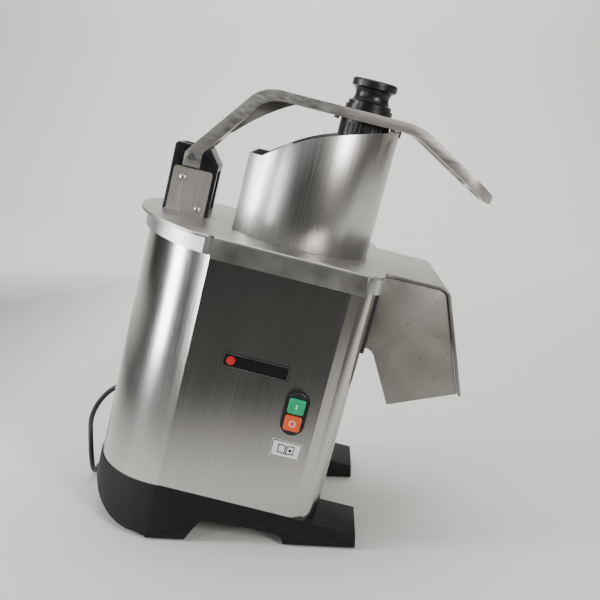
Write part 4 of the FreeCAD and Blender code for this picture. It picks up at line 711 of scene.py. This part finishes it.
@dataclass
class FrontMarks:
    """The plain badge's border and dot, the label's border and open book, and the buttons' generic marks."""

    shop: Workshop
    thick: float = 0.0002
    border_inset: float = 0.0008
    label_inset: float = 0.0006
    page_shift: float = 0.0052
    page_size: tuple[float, float] = (0.0096, 0.0110)
    page_rise: float = 0.0014
    page_rim: float = 0.0011
    badge: tuple[float, float, float, float] = (-0.007, 0.177, 0.080, 0.018)
    badge_rise: float = 0.0016
    label: tuple[float, float, float, float] = (0.0516, 0.0847, 0.0367, 0.022)
    label_rise: float = 0.0004
    start_centre: tuple[float, float] = (0.051, 0.1425)
    stop_centre: tuple[float, float] = (0.051, 0.121)
    button_rise: float = 0.0072

    def panel(self, name: str, spot: tuple[float, float], size: tuple[float, float], rise: float,
              rim: float = 0.0) -> bpy.types.Object:
        """A thin rounded panel on the near face, or only its rim.

        Args:
            name: The piece's name.
            spot: Its centre in machine coordinates, along and up.
            size: Its width and height.
            rise: How far its back stands out from the steel.
            rim: The rim's width, or 0 for a full panel.

        Returns:
            The panel, still undressed.
        """
        piece = start(name, bpy.ops.mesh.primitive_plane_add, size=1.0)
        bpy.ops.transform.resize(value=(size[0], size[1], 1.0))
        bpy.ops.mesh.bevel(offset=min(size) * 0.09, segments=4, affect="VERTICES")
        bpy.ops.mesh.select_all(action="SELECT")
        if rim:
            hollow(rim)
        thicken(self.thick)
        settle(piece, self.stand(spot, rise))
        return piece

    def stand(self, spot: tuple[float, float], rise: float) -> Matrix:
        """The move from a flat drawing to its spot on the near face."""
        flat = Matrix.Rotation(math.radians(90.0), 4, "X")
        return leaned() @ Matrix.Translation((spot[0], NEAR_FACE - rise, spot[1])) @ flat

    def ring(self, name: str, spot: tuple[float, float], radius: float, rise: float,
             rim: float) -> bpy.types.Object:
        """A thin round mark on the near face: a ring, or a domed dot where the rim is 0.

        Args:
            name: The piece's name.
            spot: Its centre in machine coordinates, along and up.
            radius: Its outer radius.
            rise: How far its back stands out from the steel.
            rim: The ring's width, or 0 for a dot.

        Returns:
            The mark, still undressed.
        """
        piece = start(name, bpy.ops.mesh.primitive_circle_add, vertices=48, radius=radius, fill_type="NGON")
        if rim:
            hollow(rim)
            thicken(self.thick)
        else:
            bpy.ops.mesh.extrude_region_move(TRANSFORM_OT_translate={"value": (0.0, 0.0, self.thick)})
            bpy.ops.mesh.inset(thickness=radius * 0.25)
            bpy.ops.transform.translate(value=(0.0, 0.0, self.thick))
            face_outwards()
        settle(piece, self.stand(spot, rise))
        return piece

    def page(self, name: str, spot: tuple[float, float], size: tuple[float, float], slope: float,
             rim: float) -> bpy.types.Object:
        """One page of the open book, with its outer edge drawn higher than the spine.

        Args:
            name: The piece's name.
            spot: Its centre in machine coordinates, along and up.
            size: Its width and height.
            slope: How much higher its outer edge stands, signed by its side.
            rim: The outline's width.

        Returns:
            The page, still undressed.
        """
        piece = start(name, bpy.ops.mesh.primitive_plane_add, size=1.0)
        bpy.ops.transform.resize(value=(size[0], size[1], 1.0))
        hollow(rim)
        bpy.ops.mesh.subdivide(number_cuts=3)
        thicken(self.thick)
        bpy.ops.object.mode_set(mode="OBJECT")
        for vertex in piece.data.vertices:
            share = vertex.co.x / size[0]
            vertex.co.y += slope * share + abs(slope) * 1.2 * (0.25 - share * share)
        settle(piece, self.stand(spot, self.label_rise))
        return piece

    def build(self) -> None:
        """Make every mark and dress it."""
        x, z, width, height = self.badge
        inset = 2.0 * self.border_inset
        border = self.panel("badge_border", (x, z), (width - inset, height - inset), self.badge_rise, 0.0005)
        self.shop.keep(border, "root", "badge_black", "badge_silver")
        dot = self.ring("badge_dot", (x - width * 0.38, z), 0.0052, self.badge_rise, 0.0)
        self.shop.keep(dot, "root", "badge_black", "badge_red")
        x, z, width, height = self.label
        inset = 2.0 * self.label_inset
        border = self.panel("label_border", (x, z), (width - inset, height - inset), self.label_rise, 0.0010)
        self.shop.keep(border, "root", "label_white", "ink_black")
        for name, side in (("label_left_page", -1.0), ("label_right_page", 1.0)):
            page = self.page(name, (x + side * self.page_shift, z), self.page_size, side * self.page_rise,
                             self.page_rim)
            self.shop.keep(page, "root", "label_white", "ink_black")
        spot = self.ring("label_dot", (x + self.page_shift, z), 0.0018, self.label_rise, 0.0)
        self.shop.keep(spot, "root", "label_white", "ink_black")
        bar = self.panel("start_mark", self.start_centre, (0.0014, 0.0062), self.button_rise)
        self.shop.keep(bar, "start", "button_green", "ink_white")
        ring = self.ring("stop_mark", self.stop_centre, 0.0040, self.button_rise, 0.0009)
        self.shop.keep(ring, "stop", "button_red", "ink_white")


# ---- studio --------------------------------------------------------------------------------------


@dataclass(frozen=True)
class Softbox:
    """A soft rectangular light that faces a point."""

    name: str
    place: Triple
    aim: Triple
    width: float
    height: float
    power: float
    colour: Colour = (1.0, 1.0, 1.0)

    def build(self) -> None:
        """Hang the light."""
        lamp = bpy.data.lights.new(self.name, "AREA")
        lamp.shape = "RECTANGLE"
        lamp.size = self.width
        lamp.size_y = self.height
        lamp.energy = self.power
        lamp.color = self.colour
        hung = bpy.data.objects.new(self.name, lamp)
        bpy.context.scene.collection.objects.link(hung)
        hung.location = self.place
        hung.rotation_euler = (Vector(self.aim) - Vector(self.place)).to_track_quat("-Z", "Y").to_euler()


@dataclass
class Studio:
    """The camera, the pale floor with its swept wall, and plain soft light."""

    camera_place: Triple = (0.04371, -1.08965, 0.51856)
    camera_turn: Triple = (77.5928, -2.0173, 1.9616)
    lens: float = 50.46
    floor: Colour = (0.70, 0.69, 0.66)
    # The colour of the painted shade at the room's dark end.
    painted_shade: Colour = (0.03, 0.029, 0.027)
    sweep_steps: int = 12
    sweep_step: float = 0.13
    wall_height: float = 3.0
    lights: tuple[Softbox, ...] = (
        Softbox("left_window", (-2.3, -0.42, 0.75), (0.0, 0.0, 0.35), 0.46, 1.9, 58.0, (0.93, 0.97, 1.0)),
        Softbox("left_strip", (-1.75, -1.55, 0.4), (0.0, 0.0, 0.35), 0.07, 1.5, 14.0),
        Softbox("overhead", (0.1, 0.5, 2.4), (0.0, 0.1, 0.3), 2.2, 1.6, 36.0),
        Softbox("wall_wash", (0.0, 2.2, 2.6), (0.0, 4.0, 0.8), 3.6, 0.5, 100.0),
        Softbox("front_fill", (1.5, -1.9, 1.1), (0.05, 0.0, 0.3), 0.5, 0.9, 42.0, (1.0, 0.97, 0.93)))

    def place_camera(self) -> None:
        """Set up the camera."""
        lens = bpy.data.cameras.new("view")
        lens.lens = self.lens
        lens.sensor_width = 36.0
        lens.clip_end = 60.0
        camera = bpy.data.objects.new("view", lens)
        bpy.context.scene.collection.objects.link(camera)
        camera.location = self.camera_place
        camera.rotation_euler = tuple(math.radians(turn) for turn in self.camera_turn)
        bpy.context.scene.camera = camera

    def build_floor(self) -> None:
        """Sweep a floor up into a far wall."""
        floor = start("studio_floor", bpy.ops.mesh.primitive_plane_add, size=9.0, location=(0.0, -1.6, 0.0))
        bpy.ops.mesh.select_mode(type="EDGE")
        bpy.ops.mesh.select_all(action="DESELECT")
        bpy.ops.object.mode_set(mode="OBJECT")
        for edge in floor.data.edges:
            edge.select = all(floor.data.vertices[index].co.y > 4.0 for index in edge.vertices)
        bpy.ops.object.mode_set(mode="EDIT")
        for number in range(self.sweep_steps):
            turn = math.radians(90.0 * (number + 0.5) / self.sweep_steps)
            step = (0.0, self.sweep_step * math.cos(turn), self.sweep_step * math.sin(turn))
            bpy.ops.mesh.extrude_region_move(TRANSFORM_OT_translate={"value": step})
        bpy.ops.mesh.extrude_region_move(TRANSFORM_OT_translate={"value": (0.0, 0.0, self.wall_height)})
        settle(floor, Matrix.Identity(4))
        floor.data.materials.append(self.floor_paint())

    def floor_paint(self) -> bpy.types.Material:
        """A pale matt paint that falls off into painted shade behind the viewer and to the left, standing in
        for the dark end of the room.
        """
        sheet = Sheet("studio_paint")
        place = sheet.node("ShaderNodeNewGeometry")
        split = sheet.node("ShaderNodeSeparateXYZ")
        sheet.join(place.outputs["Position"], split.inputs[0])
        # Painted shade: the floor darkens towards the viewer and to the left, but not on the far wall.
        front = sheet.spread(split.outputs["Y"], 0.0, 1.0, -0.66, -0.28)
        left = sheet.spread(split.outputs["X"], 0.0, 1.0, -1.10, -0.45)
        far = sheet.spread(split.outputs["Y"], 0.0, 1.0, 0.5, 1.6)
        side = sheet.sums(left, far, "MAXIMUM")
        tone = sheet.blend(sheet.sums(front, side, "MULTIPLY"), self.painted_shade, self.floor)
        sheet.join(tone, sheet.shader.inputs["Base Color"])
        sheet.fixed(Roughness=0.85)
        return sheet.material

    def build_sky(self) -> None:
        """A plain room light: dim below, brighter above."""
        world = bpy.data.worlds.new("room")
        bpy.context.scene.world = world
        world.use_nodes = True
        tree = world.node_tree
        tree.nodes.clear()
        output = tree.nodes.new("ShaderNodeOutputWorld")
        room = tree.nodes.new("ShaderNodeBackground")
        room.inputs["Strength"].default_value = 1.0
        own = tree.nodes.new("ShaderNodeTexCoord")
        split = tree.nodes.new("ShaderNodeSeparateXYZ")
        ramp = tree.nodes.new("ShaderNodeValToRGB")
        span = tree.nodes.new("ShaderNodeMapRange")
        span.inputs["From Min"].default_value = -1.0
        ramp.color_ramp.elements[0].position = 0.55
        ramp.color_ramp.elements[0].color = (0.035, 0.033, 0.031, 1.0)
        ramp.color_ramp.elements[1].position = 0.85
        ramp.color_ramp.elements[1].color = (0.60, 0.61, 0.62, 1.0)
        tree.links.new(own.outputs["Generated"], split.inputs[0])
        tree.links.new(split.outputs["Z"], span.inputs["Value"])
        tree.links.new(span.outputs["Result"], ramp.inputs["Fac"])
        tree.links.new(ramp.outputs["Color"], room.inputs["Color"])
        tree.links.new(room.outputs["Background"], output.inputs["Surface"])

    def build(self) -> None:
        """Build the whole studio."""
        self.build_floor()
        self.build_sky()
        for light in self.lights:
            light.build()


def main() -> None:
    """Load the frame and build each sub-assembly in order."""
    logging.basicConfig(level=logging.INFO, format="%(name)s: %(message)s")
    shop = Workshop(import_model())
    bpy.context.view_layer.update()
    shop.read()
    shop.dress_nodes()
    studio = Studio()
    studio.place_camera()
    Cord(shop).build()
    Body(shop).build()
    FrontMarks(shop).build()
    studio.build()


if __name__ == "__main__":
    main()
